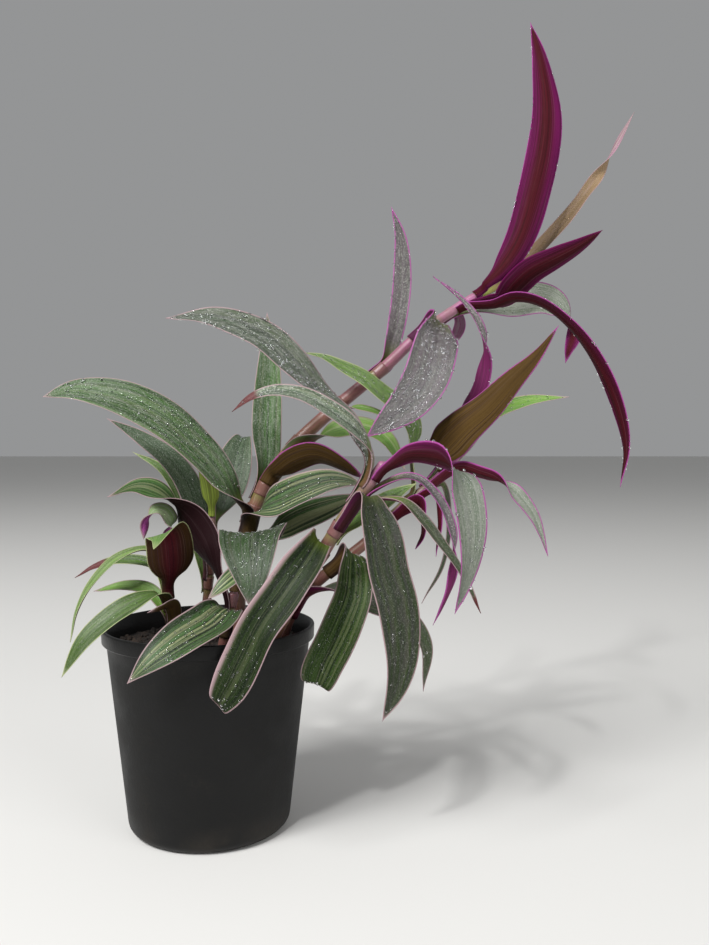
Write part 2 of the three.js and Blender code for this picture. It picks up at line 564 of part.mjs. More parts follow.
function welded(geometry) {
  // The geometry with its shared corners merged, so that only its shape is left.
  const points = [];
  const seen = new Map();
  const position = geometry.attributes.position;
  const index = Array.from(geometry.index.array, (corner) => {
    const point = new THREE.Vector3().fromBufferAttribute(position, corner);
    const key = point.toArray().map((value) => Math.round(value * 1000)).join();
    if (!seen.has(key)) {
      seen.set(key, points.length);
      points.push(point);
    }
    return seen.get(key);
  });
  const faces = [];
  for (let k = 0; k < index.length; k += 3) {
    faces.push(index.slice(k, k + 3));
  }
  return solid(points, faces);
}

function soilGeometry() {
  const inner = (height) => wallRadius(height) - WALL - WALL_GAP;
  const low = FLOOR + GAP;
  const mound = (x, y, height) => {
    if (height < SOIL_TOP) return 0;
    return SOIL_ROUGH * (Math.sin(x / 5 + y / 9) * Math.cos(y / 6 - x / 11));
  };
  const profile = [
    [0, low], [inner(BASE_EDGE) - 5, low], [inner(BASE_EDGE) - 2, BASE_EDGE + 1],
    [inner(SOIL_TOP - 3) - 0.3, SOIL_TOP - 3],
    [inner(SOIL_TOP) - 3, SOIL_TOP], [46, SOIL_TOP + SOIL_CROWN / 2], [32, SOIL_TOP + SOIL_CROWN],
    [16, SOIL_TOP + SOIL_CROWN], [0, SOIL_TOP + SOIL_CROWN],
  ];
  let soil = toManifold(turned(profile, SOIL_SIDES, mound));
  for (const stem of Object.values(STEMS)) {
    soil = soil.subtract(toManifold(stemGeometry(stem, GAP)));
  }
  return toGeometry(soil);
}

// ---------- Assembly ----------

const plant = new THREE.Group();

function add(name, geometry, material) {
  const mesh = new THREE.Mesh(geometry, material);
  mesh.name = name;
  plant.add(mesh);
}

add('pot', potGeometry(), FINISHES.pot);
add('soil', soilGeometry(), FINISHES.soil);
for (const [name, stem] of Object.entries(STEMS)) {
  add(name, stemGeometry(stem), FINISHES.stem);
}
for (const leaf of LEAVES) {
  add(leaf.name, leafGeometry(leaf), FINISHES[leaf.finish]);
}

export default plant;
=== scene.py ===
"""Potted tradescantia: a strap-leaved house plant in a black nursery pot.

The leaves, canes, soil and pot stand where the plain solids of the frame are, at the same sizes,
and are finer: striped and downy blades, sheathed joints, wet faces and a moulded, dusty pot.
Lengths in the lists of canes and leaves are millimetres, and everything that is built is in metres.
"""

import json
import math
import random
from dataclasses import dataclass

import bpy
import numpy as np
from bpy.props import FloatProperty, FloatVectorProperty, IntProperty, PointerProperty
from bpy.types import Operator, Panel, PropertyGroup
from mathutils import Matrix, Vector, noise


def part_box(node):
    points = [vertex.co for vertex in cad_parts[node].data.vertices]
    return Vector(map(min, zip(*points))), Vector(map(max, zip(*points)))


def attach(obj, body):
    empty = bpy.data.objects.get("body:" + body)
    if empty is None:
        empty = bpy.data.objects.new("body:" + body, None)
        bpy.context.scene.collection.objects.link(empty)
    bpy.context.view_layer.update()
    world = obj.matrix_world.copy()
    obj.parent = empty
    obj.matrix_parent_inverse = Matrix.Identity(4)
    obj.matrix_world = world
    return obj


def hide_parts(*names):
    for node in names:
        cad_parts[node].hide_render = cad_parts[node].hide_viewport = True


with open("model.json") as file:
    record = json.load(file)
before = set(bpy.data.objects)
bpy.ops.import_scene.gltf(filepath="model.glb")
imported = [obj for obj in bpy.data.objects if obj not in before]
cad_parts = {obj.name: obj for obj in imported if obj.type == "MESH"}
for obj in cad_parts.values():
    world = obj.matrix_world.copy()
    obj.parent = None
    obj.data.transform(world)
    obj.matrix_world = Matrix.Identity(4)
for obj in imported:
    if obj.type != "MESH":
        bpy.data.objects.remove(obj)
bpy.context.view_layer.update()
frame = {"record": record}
POT_HIGH = Vector(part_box("pot")[1])
SOIL_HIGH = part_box("soil")[1][2]
SLOTS = {part["node"]: part["material_slot"] for part in frame["record"]["subparts"]}

bl_info = {
    "name": "Potted tradescantia",
    "version": (1, 0, 0),
    "blender": (4, 5, 0),
    "location": "View3D > Sidebar > Plant",
    "description": "Builds a potted tradescantia, its pot and soil, and a plain stage for it",
    "category": "Add Mesh",
}

MM = 0.001
BODY = "root"


def tint(code):
    """A colour written as six hexadecimal digits, as Blender's linear red, green, blue and alpha."""
    parts = [int(code[k:k + 2], 16) / 255 for k in (0, 2, 4)]
    linear = [c / 12.92 if c <= 0.04045 else ((c + 0.055) / 1.055) ** 2.4 for c in parts]
    return (*linear, 1.0)


# ---------- What a user may change ----------

def colour(name, description, code):
    """A colour property with its name, description and default."""
    return FloatVectorProperty(name=name, description=description, default=tint(code),
                               subtype="COLOR", size=4, min=0, max=1)


def length(name, description, default):
    """A length property in metres."""
    return FloatProperty(name=name, description=description, default=default, min=0, unit="LENGTH")


def power(name, description, default):
    """A light's power in watts."""
    return FloatProperty(name=name, description=description, default=default, min=0, unit="POWER")


class PotSettings(PropertyGroup):
    rim_radius: length("Rim radius", "Outside radius of the band round the rim", POT_HIGH.x)
    height: length("Height", "Height of the pot", POT_HIGH.z)
    base_radius: length("Base radius", "Radius of the tapered wall at the ground", 49 * MM)
    band: length("Band", "Depth of the band round the rim", 9 * MM)
    proud: length("Band stands out", "How far the band stands out of the wall", 2 * MM)
    wall: length("Wall", "Thickness of the wall", 1.6 * MM)
    plastic: colour("Plastic", "Black moulded plastic", "070707")
    dust: colour("Dust", "Dried soil and lime on the wall", "3a342d")


class SoilSettings(PropertyGroup):
    crumbs: IntProperty(name="Crumbs", description="Number of loose crumbs on the soil", default=520, min=0)
    crumb_size: length("Crumb size", "Radius of the largest crumb", 2.6 * MM)
    dark: colour("Damp soil", "Colour of the damp hollows", "130d09")
    light: colour("Dry soil", "Colour of the drier crumbs", "3b2c20")


class StemSettings(PropertyGroup):
    sheath: length("Sheath", "Length of the papery sheath above a joint", 7 * MM)
    skin: colour("Skin", "Brownish pink of the older canes", "7c4a48")
    blush: colour("Blush", "Pink of the canes near their heads", "a86490")
    joint: colour("Joint", "Yellow-green at each joint", "6a6a30")
    husk: colour("Husk", "Brown of the dry sheaths", "5c4034")


class LeafSettings(PropertyGroup):
    thickness: length("Thickness", "Thickness of a blade along its midrib", 0.75 * MM)
    wave: length("Wave", "How far the margins of a wide blade wave", 0.7 * MM)
    groove: length("Groove", "Depth of the groove along the midrib", 0.4 * MM)
    deep_green: colour("Deep green", "Darkest green of the upper side", "15260c")
    green: colour("Green", "Common green of the upper side", "466a32")
    light_green: colour("Light green", "Light green of young blades", "668c36")
    yellow_green: colour("Yellow-green", "Yellow-green of blade roots and shaded blades", "84963a")
    grey_green: colour("Grey-green", "Cool, downy green of some broad blades", "4e6048")
    # The hanging blades' dark green is partly painted shade: it is darker than their green under even light,
    # because they hang in shadow.
    shade_green: colour("Shade green", "Dark green of the hanging blades", "334a1a")
    stripe: colour("Stripe", "Cream of the pale stripes", "a3a87c")
    frost: colour("Frost", "Silver bloom of the upper side", "8f918a")
    # Down is partly the hairs' own pale colour and partly painted highlight: the glints of the fine droplets
    # caught in them.
    down: colour("Down", "Pale hairs and the fine droplets caught in them", "b6b8ae")
    slate: colour("Slate", "Dark grey under the bloom of the silver blades", "3d403a")
    violet: colour("Violet", "Greyed violet of the blades near the heads", "6b5b66")
    margin: colour("Margin", "Pale pink of the margins", "a48a8e")
    bright_margin: colour("Bright margin", "Strong pink of the margins near the heads", "a04a90")
    magenta: colour("Magenta", "Underside of the young blades", "63124a")
    rosewood: colour("Rosewood", "Brownish middle of the undersides", "4a121c")
    burgundy: colour("Burgundy", "Underside of the older blades", "220d11")
    olive: colour("Olive", "Olive underside", "5a4420")
    umber: colour("Umber", "Brown underside of the hooded blade", "3a2610")
    beige: colour("Beige", "Pinkish beige of a thin young blade", "8a7356")
    dry: colour("Dry tip", "Dried tip of a blade", "5e3232")


class WaterSettings(PropertyGroup):
    drop: length("Drop", "Radius of the largest drop", 0.95 * MM)
    bead: length("Bead", "Radius of the largest bead that hangs on a margin", 1.1 * MM)


class StageSettings(PropertyGroup):
    floor: colour("Floor", "Pale studio floor", "d9d8d5")
    key: power("Key light", "Power of the large light", 112)
    fill: power("Fill light", "Power of the side light", 40)
    glint: power("Glint light", "Power of the small light that picks out the water", 14)
    lens: FloatProperty(name="Lens", description="Focal length of the camera, mm on a 36 mm frame",
                        default=33.14, min=1)


class PlantSettings(PropertyGroup):
    pot: PointerProperty(type=PotSettings)
    soil: PointerProperty(type=SoilSettings)
    stems: PointerProperty(type=StemSettings)
    leaves: PointerProperty(type=LeafSettings)
    water: PointerProperty(type=WaterSettings)
    stage: PointerProperty(type=StageSettings)


# ---------- Canes and leaves ----------
# Each route runs up a stem from its foot in the soil, and each path along a midrib to its tip.

STEMS = {
    "cane_tall": dict(radius=5.0, tip=2.8, route=[
        (13, 12, 86), (15, 12, 112), (17, 12, 150), (23, 12, 184), (33, 13, 208), (49, 14, 231),
        (67, 16, 249), (87, 18, 266), (110, 21, 285), (132, 24, 306), (150, 27, 319), (173, 30, 334)]),
    "cane_front": dict(radius=4.9, tip=2.8, route=[
        (33, -16, 86), (38, -22, 112), (56, -32, 148), (73, -42, 175), (81, -45, 188),
        (90, -48, 202), (98, -50, 212), (107, -52, 225)]),
    "cane_rear": dict(radius=4.0, tip=2.4, route=[
        (40, 10, 86), (44, 10, 112), (54, 9, 136), (68, 7, 150), (84, 5, 163), (101, 4, 177),
        (118, 6, 194), (134, 8, 207), (146, 10, 217), (156, 11, 229)]),
    "shoot_left": dict(radius=3.4, tip=1.8, route=[
        (-15, -8, 86), (-18, -8, 112), (-22, -9, 130), (-24, -9, 145), (-25, -8, 174)]),
    "shoot_middle": dict(radius=3.2, tip=2.2, route=[
        (9, -22, 86), (11, -22, 112), (15, -22, 130), (18, -21, 146), (20, -20, 158)]),
    "shoot_back": dict(radius=3.2, tip=1.8, route=[
        (-8, 30, 86), (-8, 30, 112), (-6, 29, 140), (-3, 27, 165), (-2, 27, 199)]),
}


@dataclass
class Leaf:
    """One leaf: the height at which it leaves its stem, its greatest width, its finish and its midrib.

    face is where its upper side looks once it has turned there, between the two shares of its length
    in turn, and tip where it looks after twist. belly is where it is widest, blunt how full its tip
    is, clasp the half angle that its root wraps round the stem, channel that of its gutter shape, and
    wide the share of its length by which the blade has opened to its own width.
    tone is how light its finish is beside others like it: partly its own colour and partly painted shade
    and painted light, lowest on the blades that hang in shadow. wet is the drops on a square centimetre,
    beads those on a centimetre of margin, dry the length of its dried tip, and band the share of its width
    that is a pale band on one side.
    """

    name: str
    stem: str
    root: float
    width: float
    look: str
    path: list
    face: tuple = None
    turn: tuple = (0, 0.4)
    tip: tuple = None
    twist: tuple = (0.45, 0.8)
    belly: float = 0.42
    blunt: float = 2.1
    clasp: float = 1.35
    channel: float = 0.5
    wide: float = 0.3
    tone: float = 1
    wet: float = 0
    beads: float = 0
    dry: float = 0
    band: float = 0


LEAVES = [
    Leaf("leaf_tall_low_left", "cane_tall", 190, 26, "green", [
        (16, 3, 200), (5, -3, 219), (-7, -7, 233), (-24, -12, 249), (-42, -15, 259), (-61, -17, 265),
        (-79, -18, 267), (-96, -18, 263)], face=(0, -0.75, 0.65), turn=(0, 0.2), belly=0.52, blunt=2.6,
        tone=0.9, wet=12),
    Leaf("leaf_tall_low_front", "cane_tall", 155, 41, "green", [
        (28, -13, 174), (31, -30, 183), (31, -46, 179), (33, -58, 164), (33, -64, 145)],
        face=(0, -0.85, 0.5), tone=0.45, wet=18),
    Leaf("leaf_tall_low_right", "cane_tall", 170, 21, "striped", [
        (31, 9, 173), (54, 1, 187), (77, -6, 197), (95, -11, 205)], face=(0, -0.8, 0.5), tone=0.9, wet=2),
    Leaf("leaf_tall_striped", "cane_tall", 181, 23, "striped", [
        (30, -2, 193), (45, -11, 201), (60, -18, 208), (75, -22, 213), (87, -25, 213), (95, -26, 210)],
        face=(0, -0.85, 0.5), tone=0.7, wet=9),
    Leaf("leaf_tall_upright", "cane_tall", 204, 20, "green", [
        (33, 22, 222), (33, 27, 244), (34, 30, 274), (34, 31, 302), (33, 31, 321)], face=(0, -1, 0.1),
        wet=1),
    Leaf("leaf_tall_olive", "cane_tall", 215, 19, "olive", [
        (42, 2, 217), (52, -4, 224), (66, -10, 228), (81, -14, 223), (96, -16, 214)], face=(0, 0.8, 0.6),
        tone=0.6),
    Leaf("leaf_tall_pale", "cane_tall", 233, 19, "pale", [
        (62, 5, 236), (78, 2, 243), (95, 0, 245), (109, -3, 238), (121, -6, 219)], face=(0, -0.6, 0.7)),
    Leaf("leaf_tall_small", "cane_tall", 258, 8, "pale", [
        (88, 8, 258), (100, 6, 256), (109, 5, 252), (116, 4, 245)], face=(0, -0.5, 0.8)),
    Leaf("leaf_tall_pink_edged", "cane_tall", 280, 13, "violet", [
        (110, 26, 288), (115, 29, 303), (119, 31, 323), (121, 33, 346), (120, 34, 370), (114, 34, 390)],
        face=(0.1, -1, 0), belly=0.5, tone=0.75, wet=4, beads=1.6),
    Leaf("leaf_tall_silver", "cane_tall", 305, 30, "violet", [
        (142, 12, 313), (141, 4, 302), (138, -5, 288), (133, -11, 273), (124, -15, 260), (112, -18, 250),
        (97, -21, 239)], face=(-0.15, -0.95, 0.25), belly=0.5, tone=0.6, wet=36, beads=3),
    Leaf("leaf_tall_magenta", "cane_tall", 313, 10, "magenta", [
        (152, 35, 321), (157, 37, 320), (159, 38, 315), (157, 38, 308), (150, 38, 299)], belly=0.6,
        clasp=0.4, wide=0.7),
    Leaf("leaf_head_right_droop", "cane_tall", 325, 14, "magenta", [
        (178, 17, 323), (191, 9, 326), (206, 2, 321), (222, -3, 307), (238, -7, 284), (250, -8, 257),
        (255, -8, 232), (252, -8, 209)], face=(0.1, 0.15, 1), tip=(0.8, 0.5, 0.2), twist=(0.35, 0.7),
        clasp=0.95, tone=0.7, beads=1.6),
    Leaf("leaf_head_back_droop", "cane_tall", 320, 25, "frosted", [
        (179, 44, 329), (196, 51, 332), (220, 56, 333), (235, 59, 324), (240, 61, 311), (237, 62, 299),
        (235, 62, 291)], face=(0, -1, 0.2), tip=(0.3, 0.8, 0.3), twist=(0.6, 0.96), clasp=0.95, tone=1.4,
        wet=2),
    Leaf("leaf_head_low", "cane_tall", 329, 19, "burgundy", [
        (185, 26, 327), (192, 15, 335), (200, 7, 342), (214, 2, 349), (227, 0, 356), (242, -2, 366)],
        face=(-0.25, 0.9, 0.3), clasp=0.95, wide=0.12, tone=0.75),
    Leaf("leaf_head_tall", "cane_tall", 335, 22, "magenta", [
        (173, 24, 337), (183, 21, 347), (195, 20, 366), (204, 19, 395), (210, 19, 422), (212, 20, 448),
        (209, 23, 477), (203, 28, 506)], face=(0.1, 1, -0.1), belly=0.45, clasp=0.95, wide=0.14, tone=0.85,
        beads=2.4),
    Leaf("leaf_head_thin", "cane_tall", 333, 13, "beige", [
        (187, 36, 342), (209, 41, 361), (235, 45, 390), (255, 46, 419), (276, 46, 456)],
        face=(-0.6, -0.7, 0.4), tip=(0.5, 0.85, 0), twist=(0.58, 0.94), belly=0.25, clasp=0.95, wide=0.15),
    # This blade is painted much darker than its look: painted shade, because it hangs in shadow.
    Leaf("leaf_front_hanging_left", "cane_front", 168, 24, "streaked", [
        (70, -52, 181), (62, -60, 169), (51, -66, 153), (39, -70, 136), (30, -73, 118), (23, -75, 104),
        (18, -74, 96), (16, -67, 92)], face=(-0.2, -0.9, 0.3), blunt=8, tone=0.36, wet=9, band=0.11),
    Leaf("leaf_front_low_right", "cane_front", 184, 13, "bright", [
        (89, -38, 189), (102, -34, 198), (115, -32, 206), (126, -32, 212)], face=(0, -0.7, 0.7)),
    Leaf("leaf_front_hanging_middle", "cane_front", 192, 23, "dusky", [
        (97, -61, 206), (101, -68, 196), (105, -72, 183), (108, -74, 167), (113, -75, 149), (115, -74, 132),
        (115, -73, 116), (112, -71, 101), (105, -69, 84)], face=(0.1, -1, 0.1), blunt=2.8, clasp=0.95,
        tone=0.5, wet=8),
    Leaf("leaf_front_dark", "cane_front", 204, 12, "dusky", [
        (115, -54, 203), (127, -58, 193), (137, -62, 180), (145, -64, 169), (153, -64, 155),
        (159, -64, 142)], face=(0.3, -0.3, 0.9), clasp=0.95, dry=9),
    Leaf("leaf_front_silver", "cane_front", 205, 24, "silver", [
        (97, -46, 225), (92, -44, 237), (85, -43, 248), (75, -42, 258), (66, -42, 268), (55, -43, 280),
        (37, -44, 296), (11, -44, 306), (-17, -43, 306)], face=(0.2, -0.8, 0.55), turn=(0.38, 0.64),
        belly=0.55, clasp=0.95, tone=0.68, wet=26, beads=1.6),
    Leaf("leaf_front_droop", "cane_front", 209, 8, "violet", [
        (117, -50, 216), (126, -49, 215), (134, -49, 208), (140, -49, 199), (145, -49, 185),
        (146, -48, 169), (144, -46, 153), (139, -44, 140), (135, -42, 131)], face=(0.2, -0.5, 0.85),
        tip=(-0.4, 0.8, 0.3), twist=(0.5, 0.86), clasp=0.95),
    Leaf("leaf_front_arching_left", "cane_front", 213, 13, "sage", [
        (98, -55, 231), (90, -63, 243), (75, -69, 254), (61, -71, 261), (47, -71, 263), (35, -70, 260),
        (24, -68, 252)], face=(0.1, -0.75, 0.65), clasp=0.95, tone=1.2, wet=18, dry=16),
    Leaf("leaf_front_magenta_arch", "cane_front", 220, 20, "frosted", [
        (111, -58, 223), (119, -66, 228), (129, -78, 228), (136, -88, 226), (143, -95, 219),
        (147, -99, 206), (149, -101, 191), (148, -101, 175), (145, -99, 161), (141, -97, 148)],
        face=(-0.1, 0.95, 0.3), turn=(0, 0.1), tip=(0.4, -0.88, 0.25), twist=(0.34, 0.54), clasp=0.95,
        tone=0.8, wet=3, beads=1.6),
    Leaf("leaf_rear_low_right", "cane_rear", 132, 19, "dusky", [
        (60, -2, 141), (78, -2, 145), (100, 1, 137), (120, 4, 128), (134, 4, 109), (133, 4, 80)],
        face=(0, -0.7, 0.7), wet=2),
    Leaf("leaf_rear_hanging", "cane_rear", 158, 24, "streaked", [
        (88, -10, 169), (90, -22, 157), (89, -29, 145), (84, -34, 132), (78, -36, 119), (72, -36, 107),
        (68, -34, 96), (68, -27, 93)], face=(0, -1, 0.2), belly=0.62, blunt=8, tone=0.9, wet=10),
    Leaf("leaf_rear_pink_small", "cane_rear", 190, 12, "magenta", [
        (130, -5, 199), (131, -8, 189), (131, -9, 180), (127, -9, 171)], blunt=5, clasp=0.95),
    Leaf("leaf_rear_pink_thin", "cane_rear", 196, 6, "magenta", [
        (139, -1, 206), (142, -5, 188), (140, -5, 166)], clasp=0.95),
    Leaf("leaf_rear_grey_thin", "cane_rear", 201, 8, "dusky", [
        (145, 18, 210), (150, 20, 187), (146, 19, 158), (133, 18, 133)], clasp=0.95),
    Leaf("leaf_rear_arching_left", "cane_rear", 202, 17, "bright", [
        (125, 5, 224), (125, 3, 234), (126, 1, 243), (121, 1, 255), (108, 1, 265), (95, 2, 276),
        (82, 3, 283), (70, 3, 289), (58, 4, 292)], face=(0.2, -0.7, 0.7), clasp=0.95, tone=0.9, wet=16),
    Leaf("leaf_rear_magenta", "cane_rear", 210, 12, "frosted", [
        (155, 3, 220), (167, -1, 217), (180, -3, 212), (190, -4, 204), (200, -4, 191), (205, -4, 179),
        (209, -4, 166)], face=(0.1, 0.55, 0.83), tip=(0.35, -0.85, 0.35), twist=(0.38, 0.6), clasp=0.95),
    Leaf("leaf_rear_twisted", "cane_rear", 209, 12, "violet", [
        (157, 23, 243), (162, 16, 257), (168, 11, 270), (171, 9, 284), (171, 7, 296), (167, 5, 310),
        (158, 3, 322), (148, 1, 331), (138, 0, 338)], face=(0.5, 0.85, 0), tip=(0.75, -0.6, 0.2),
        twist=(0.52, 0.72), clasp=0.95, channel=0.8, tone=1.2, wet=12, beads=1.5),
    Leaf("leaf_rear_right", "cane_rear", 219, 12, "pale", [
        (159, 22, 232), (177, 26, 253), (201, 29, 263), (230, 30, 266)], face=(0, -0.8, 0.6), clasp=0.95,
        tone=1.2, wet=8),
    Leaf("leaf_rear_olive", "cane_rear", 220, 28, "olive", [
        (138, 2, 226), (145, -3, 234), (155, -9, 245), (170, -14, 258), (184, -19, 273), (197, -25, 287),
        (209, -29, 304)], belly=0.12, blunt=1.4, clasp=0.95, wide=0.25, tone=0.8, wet=3),
    Leaf("leaf_left_low_front", "shoot_left", 122, 10, "pale", [
        (-19, -20, 138), (-24, -30, 138), (-30, -36, 137)]),
    Leaf("leaf_left_pale", "shoot_left", 129, 11, "pale", [
        (-36, 0, 143), (-54, 6, 146), (-75, 10, 142)], face=(0, -0.6, 0.8)),
    Leaf("leaf_left_green", "shoot_left", 138, 15, "bright", [
        (-27, -22, 145), (-40, -29, 141), (-53, -35, 133), (-66, -40, 121), (-78, -42, 101)],
        face=(0, -0.7, 0.7), tone=0.6, wet=1),
    Leaf("leaf_left_brown_tip", "shoot_left", 145, 10, "bright", [
        (-33, 3, 158), (-57, 9, 162), (-75, 12, 157), (-88, 14, 150)], face=(0, -0.5, 0.8), tone=0.7,
        dry=22),
    Leaf("leaf_left_hood", "shoot_left", 147, 28, "hooded", [
        (-19, -22, 159), (-18, -28, 170), (-18, -33, 179), (-18, -41, 184), (-19, -49, 182),
        (-22, -54, 176)], belly=0.3, blunt=4, channel=0.3, wide=0.4, tone=0.85),
    Leaf("leaf_left_yellow", "shoot_left", 158, 12, "bright", [
        (-36, -8, 170), (-53, -10, 166), (-69, -12, 150), (-78, -14, 133), (-82, -14, 115)],
        face=(-0.4, -0.4, 0.8)),
    Leaf("leaf_left_magenta", "shoot_left", 170, 14, "bract", [
        (-21, -13, 185), (-24, -15, 193), (-29, -18, 195), (-34, -20, 189), (-36, -20, 178)],
        face=(0, -0.5, 0.85), turn=(0.1, 0.4), tip=(-0.3, 0.9, 0.2), twist=(0.45, 0.98)),
    Leaf("leaf_middle_wide", "shoot_middle", 126, 28, "striped", [
        (16, -36, 139), (8, -52, 134), (-5, -67, 128), (-18, -75, 119), (-31, -78, 107)],
        face=(-0.1, -0.75, 0.65), tone=0.7, wet=14),
    Leaf("leaf_middle_dark", "shoot_middle", 139, 26, "dark", [
        (6, -21, 161), (-5, -16, 182), (-20, -15, 200), (-39, -15, 209), (-59, -14, 203)],
        face=(0.3, 0.8, 0.4), tip=(0, -0.6, 0.8), tone=0.75),
    Leaf("leaf_middle_small", "shoot_middle", 152, 14, "striped", [
        (24, -29, 160), (18, -36, 156), (6, -41, 146)], face=(-0.3, -0.8, 0.5)),
    Leaf("leaf_back_left", "shoot_back", 152, 17, "blue", [
        (-11, 25, 183), (-17, 26, 207), (-29, 28, 224), (-49, 31, 239), (-72, 32, 252)],
        face=(0.1, -0.8, 0.6), wet=1),
    Leaf("leaf_back_yellow_tip", "shoot_back", 142, 10, "bright", [
        (-15, 44, 168), (-25, 54, 193), (-42, 60, 218), (-63, 62, 230)], face=(0.1, -0.8, 0.6)),
    Leaf("leaf_back_wide", "shoot_back", 184, 26, "blue", [
        (3, 38, 192), (7, 49, 214), (10, 60, 231), (12, 70, 240), (12, 82, 239)], face=(0, -0.9, 0.4),
        clasp=0.95, wet=4),
    Leaf("leaf_back_young", "shoot_back", 193, 13, "yellow", [
        (-3, 22, 200), (-5, 21, 212), (-10, 20, 222)], clasp=0.95, tone=1.5),
]


# ---------- Curves ----------

class Spine:
    """A smooth curve through points, measured by its length, as a cane or a midrib runs."""

    # Points for each span between two knots, and how near the heading is taken, as a share.
    per_span = 24
    nearby = 0.006

    def __init__(self, points):
        knots = [np.array(point, float) * MM for point in points]
        knots = [2 * knots[0] - knots[1]] + knots + [2 * knots[-1] - knots[-2]]
        places = []
        for before, start, end, after in zip(knots, knots[1:], knots[2:], knots[3:]):
            lead, step, trail = (np.linalg.norm(b - a) ** 0.5
                                 for a, b in ((before, start), (start, end), (end, after)))
            leave = step * ((start - before) / lead - (end - before) / (lead + step) + (end - start) / step)
            arrive = step * ((end - start) / step - (after - start) / (step + trail) + (after - end) / trail)
            for t in np.linspace(0, 1, self.per_span, endpoint=False):
                places.append(start + leave * t + (3 * (end - start) - 2 * leave - arrive) * t ** 2
                              + (2 * (start - end) + leave + arrive) * t ** 3)
        self.places = np.array(places + [knots[-2]])
        steps = np.linalg.norm(np.diff(self.places, axis=0), axis=1)
        self.run = np.concatenate([[0], np.cumsum(steps)])
        self.length = self.run[-1]

    def at(self, share):
        """The place at a share of the length."""
        return np.array([np.interp(share * self.length, self.run, self.places[:, k]) for k in range(3)])

    def heading(self, share):
        return unit(self.at(min(1, share + self.nearby)) - self.at(max(0, share - self.nearby)))

    def at_height(self, height):
        """The share of a rising stem at which it reaches a height."""
        low, high = 0.0, 1.0
        while high - low > 1e-12:
            middle = (low + high) / 2
            if self.at(middle)[2] < height:
                low = middle
            else:
                high = middle
        return low


def unit(vector):
    return vector / np.linalg.norm(vector)


def across(vector, tangent):
    """The part of a vector that is square to a tangent, as a unit vector."""
    return unit(vector - tangent * np.dot(vector, tangent))


def smooth(t):
    """Eases from 0 to 1 as t does."""
    t = min(1.0, max(0.0, t))
    return t * t * (3 - 2 * t)


def ease(t, span):
    """Eases from 0 to 1 as t passes from one end of a span to the other."""
    return smooth((t - span[0]) / (span[1] - span[0]))


def mix(low, high, share):
    return low + (high - low) * share


def turned(vector, axis, angle):
    """A vector turned about an axis that it is square to."""
    return vector * math.cos(angle) + np.cross(axis, vector) * math.sin(angle)


# ---------- Meshes ----------

# Corners nearer than this are one.
SEAM = 0.01 * MM


def start_fresh():
    """Leaves edit mode and selects nothing, because an operator acts on all that is selected."""
    if bpy.context.object and bpy.context.object.mode != "OBJECT":
        bpy.ops.object.mode_set(mode="OBJECT")
    bpy.ops.object.select_all(action="DESELECT")


def take_up(piece):
    """Makes a piece the active object and the only one that is selected."""
    start_fresh()
    piece.select_set(True)
    bpy.context.view_layer.objects.active = piece


def named(name):
    """Names the new object and its mesh, and puts its place into the mesh."""
    piece = bpy.context.object
    piece.name = piece.data.name = name
    bpy.ops.object.transform_apply(location=True, rotation=True, scale=True)
    return piece


def places_of(piece):
    """Every corner of a mesh, as an array with a row for each."""
    places = np.empty(len(piece.data.vertices) * 3)
    piece.data.vertices.foreach_get("co", places)
    return places.reshape(-1, 3)


def set_places(piece, places):
    piece.data.vertices.foreach_set("co", np.asarray(places, float).ravel())
    piece.data.update()


def store(piece, **numbers):
    """Stores numbers at the corners of a mesh, for the finish to read."""
    for name, values in numbers.items():
        attribute = piece.data.attributes.get(name) or piece.data.attributes.new(name, "FLOAT", "POINT")
        attribute.data.foreach_set("value", np.broadcast_to(values, len(piece.data.vertices)).astype(float))


def grid(name, columns, rows):
    """A flat grid, and the column and row of each of its corners."""
    start_fresh()
    bpy.ops.mesh.primitive_grid_add(x_subdivisions=columns, y_subdivisions=rows, size=1)
    piece = named(name)
    return piece, np.round((places_of(piece)[:, :2] + 0.5) * (columns, rows)).astype(int)


def modify(piece, kind, **settings):
    """Adds a modifier with these settings and applies it."""
    take_up(piece)
    modifier = piece.modifiers.new(kind.title(), kind)
    for key, value in settings.items():
        setattr(modifier, key, value)
    bpy.ops.object.modifier_apply(modifier=modifier.name)


def close_seams(piece, fill=True):
    """Merges a wrapped grid's seam, closes its ends and points its faces outwards."""
    take_up(piece)
    bpy.ops.object.mode_set(mode="EDIT")
    bpy.ops.mesh.select_all(action="SELECT")
    bpy.ops.mesh.remove_doubles(threshold=SEAM)
    if fill:
        bpy.ops.mesh.select_all(action="DESELECT")
        bpy.ops.mesh.select_non_manifold()
        bpy.ops.mesh.fill_holes(sides=0)
        bpy.ops.mesh.select_all(action="SELECT")
    bpy.ops.mesh.normals_make_consistent(inside=False)
    bpy.ops.object.mode_set(mode="OBJECT")


def join(pieces):
    """Makes one object of several, named as the first."""
    start_fresh()
    for piece in pieces:
        piece.select_set(True)
    bpy.context.view_layer.objects.active = pieces[0]
    bpy.ops.object.join()
    return pieces[0]


def shade(piece, angle=None):
    """Shades a piece smooth, all over or where its faces meet at less than an angle in degrees."""
    take_up(piece)
    if angle is None:
        bpy.ops.object.shade_smooth()
    else:
        bpy.ops.object.shade_smooth_by_angle(angle=math.radians(angle))


def seat(piece, paint, slot, *nodes):
    """Gives a piece its finish and its body, and lets it stand for these solids. Its slot is not used."""
    piece.data.materials.clear()
    piece.data.materials.append(paint)
    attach(piece, BODY)
    if nodes:
        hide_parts(*nodes)


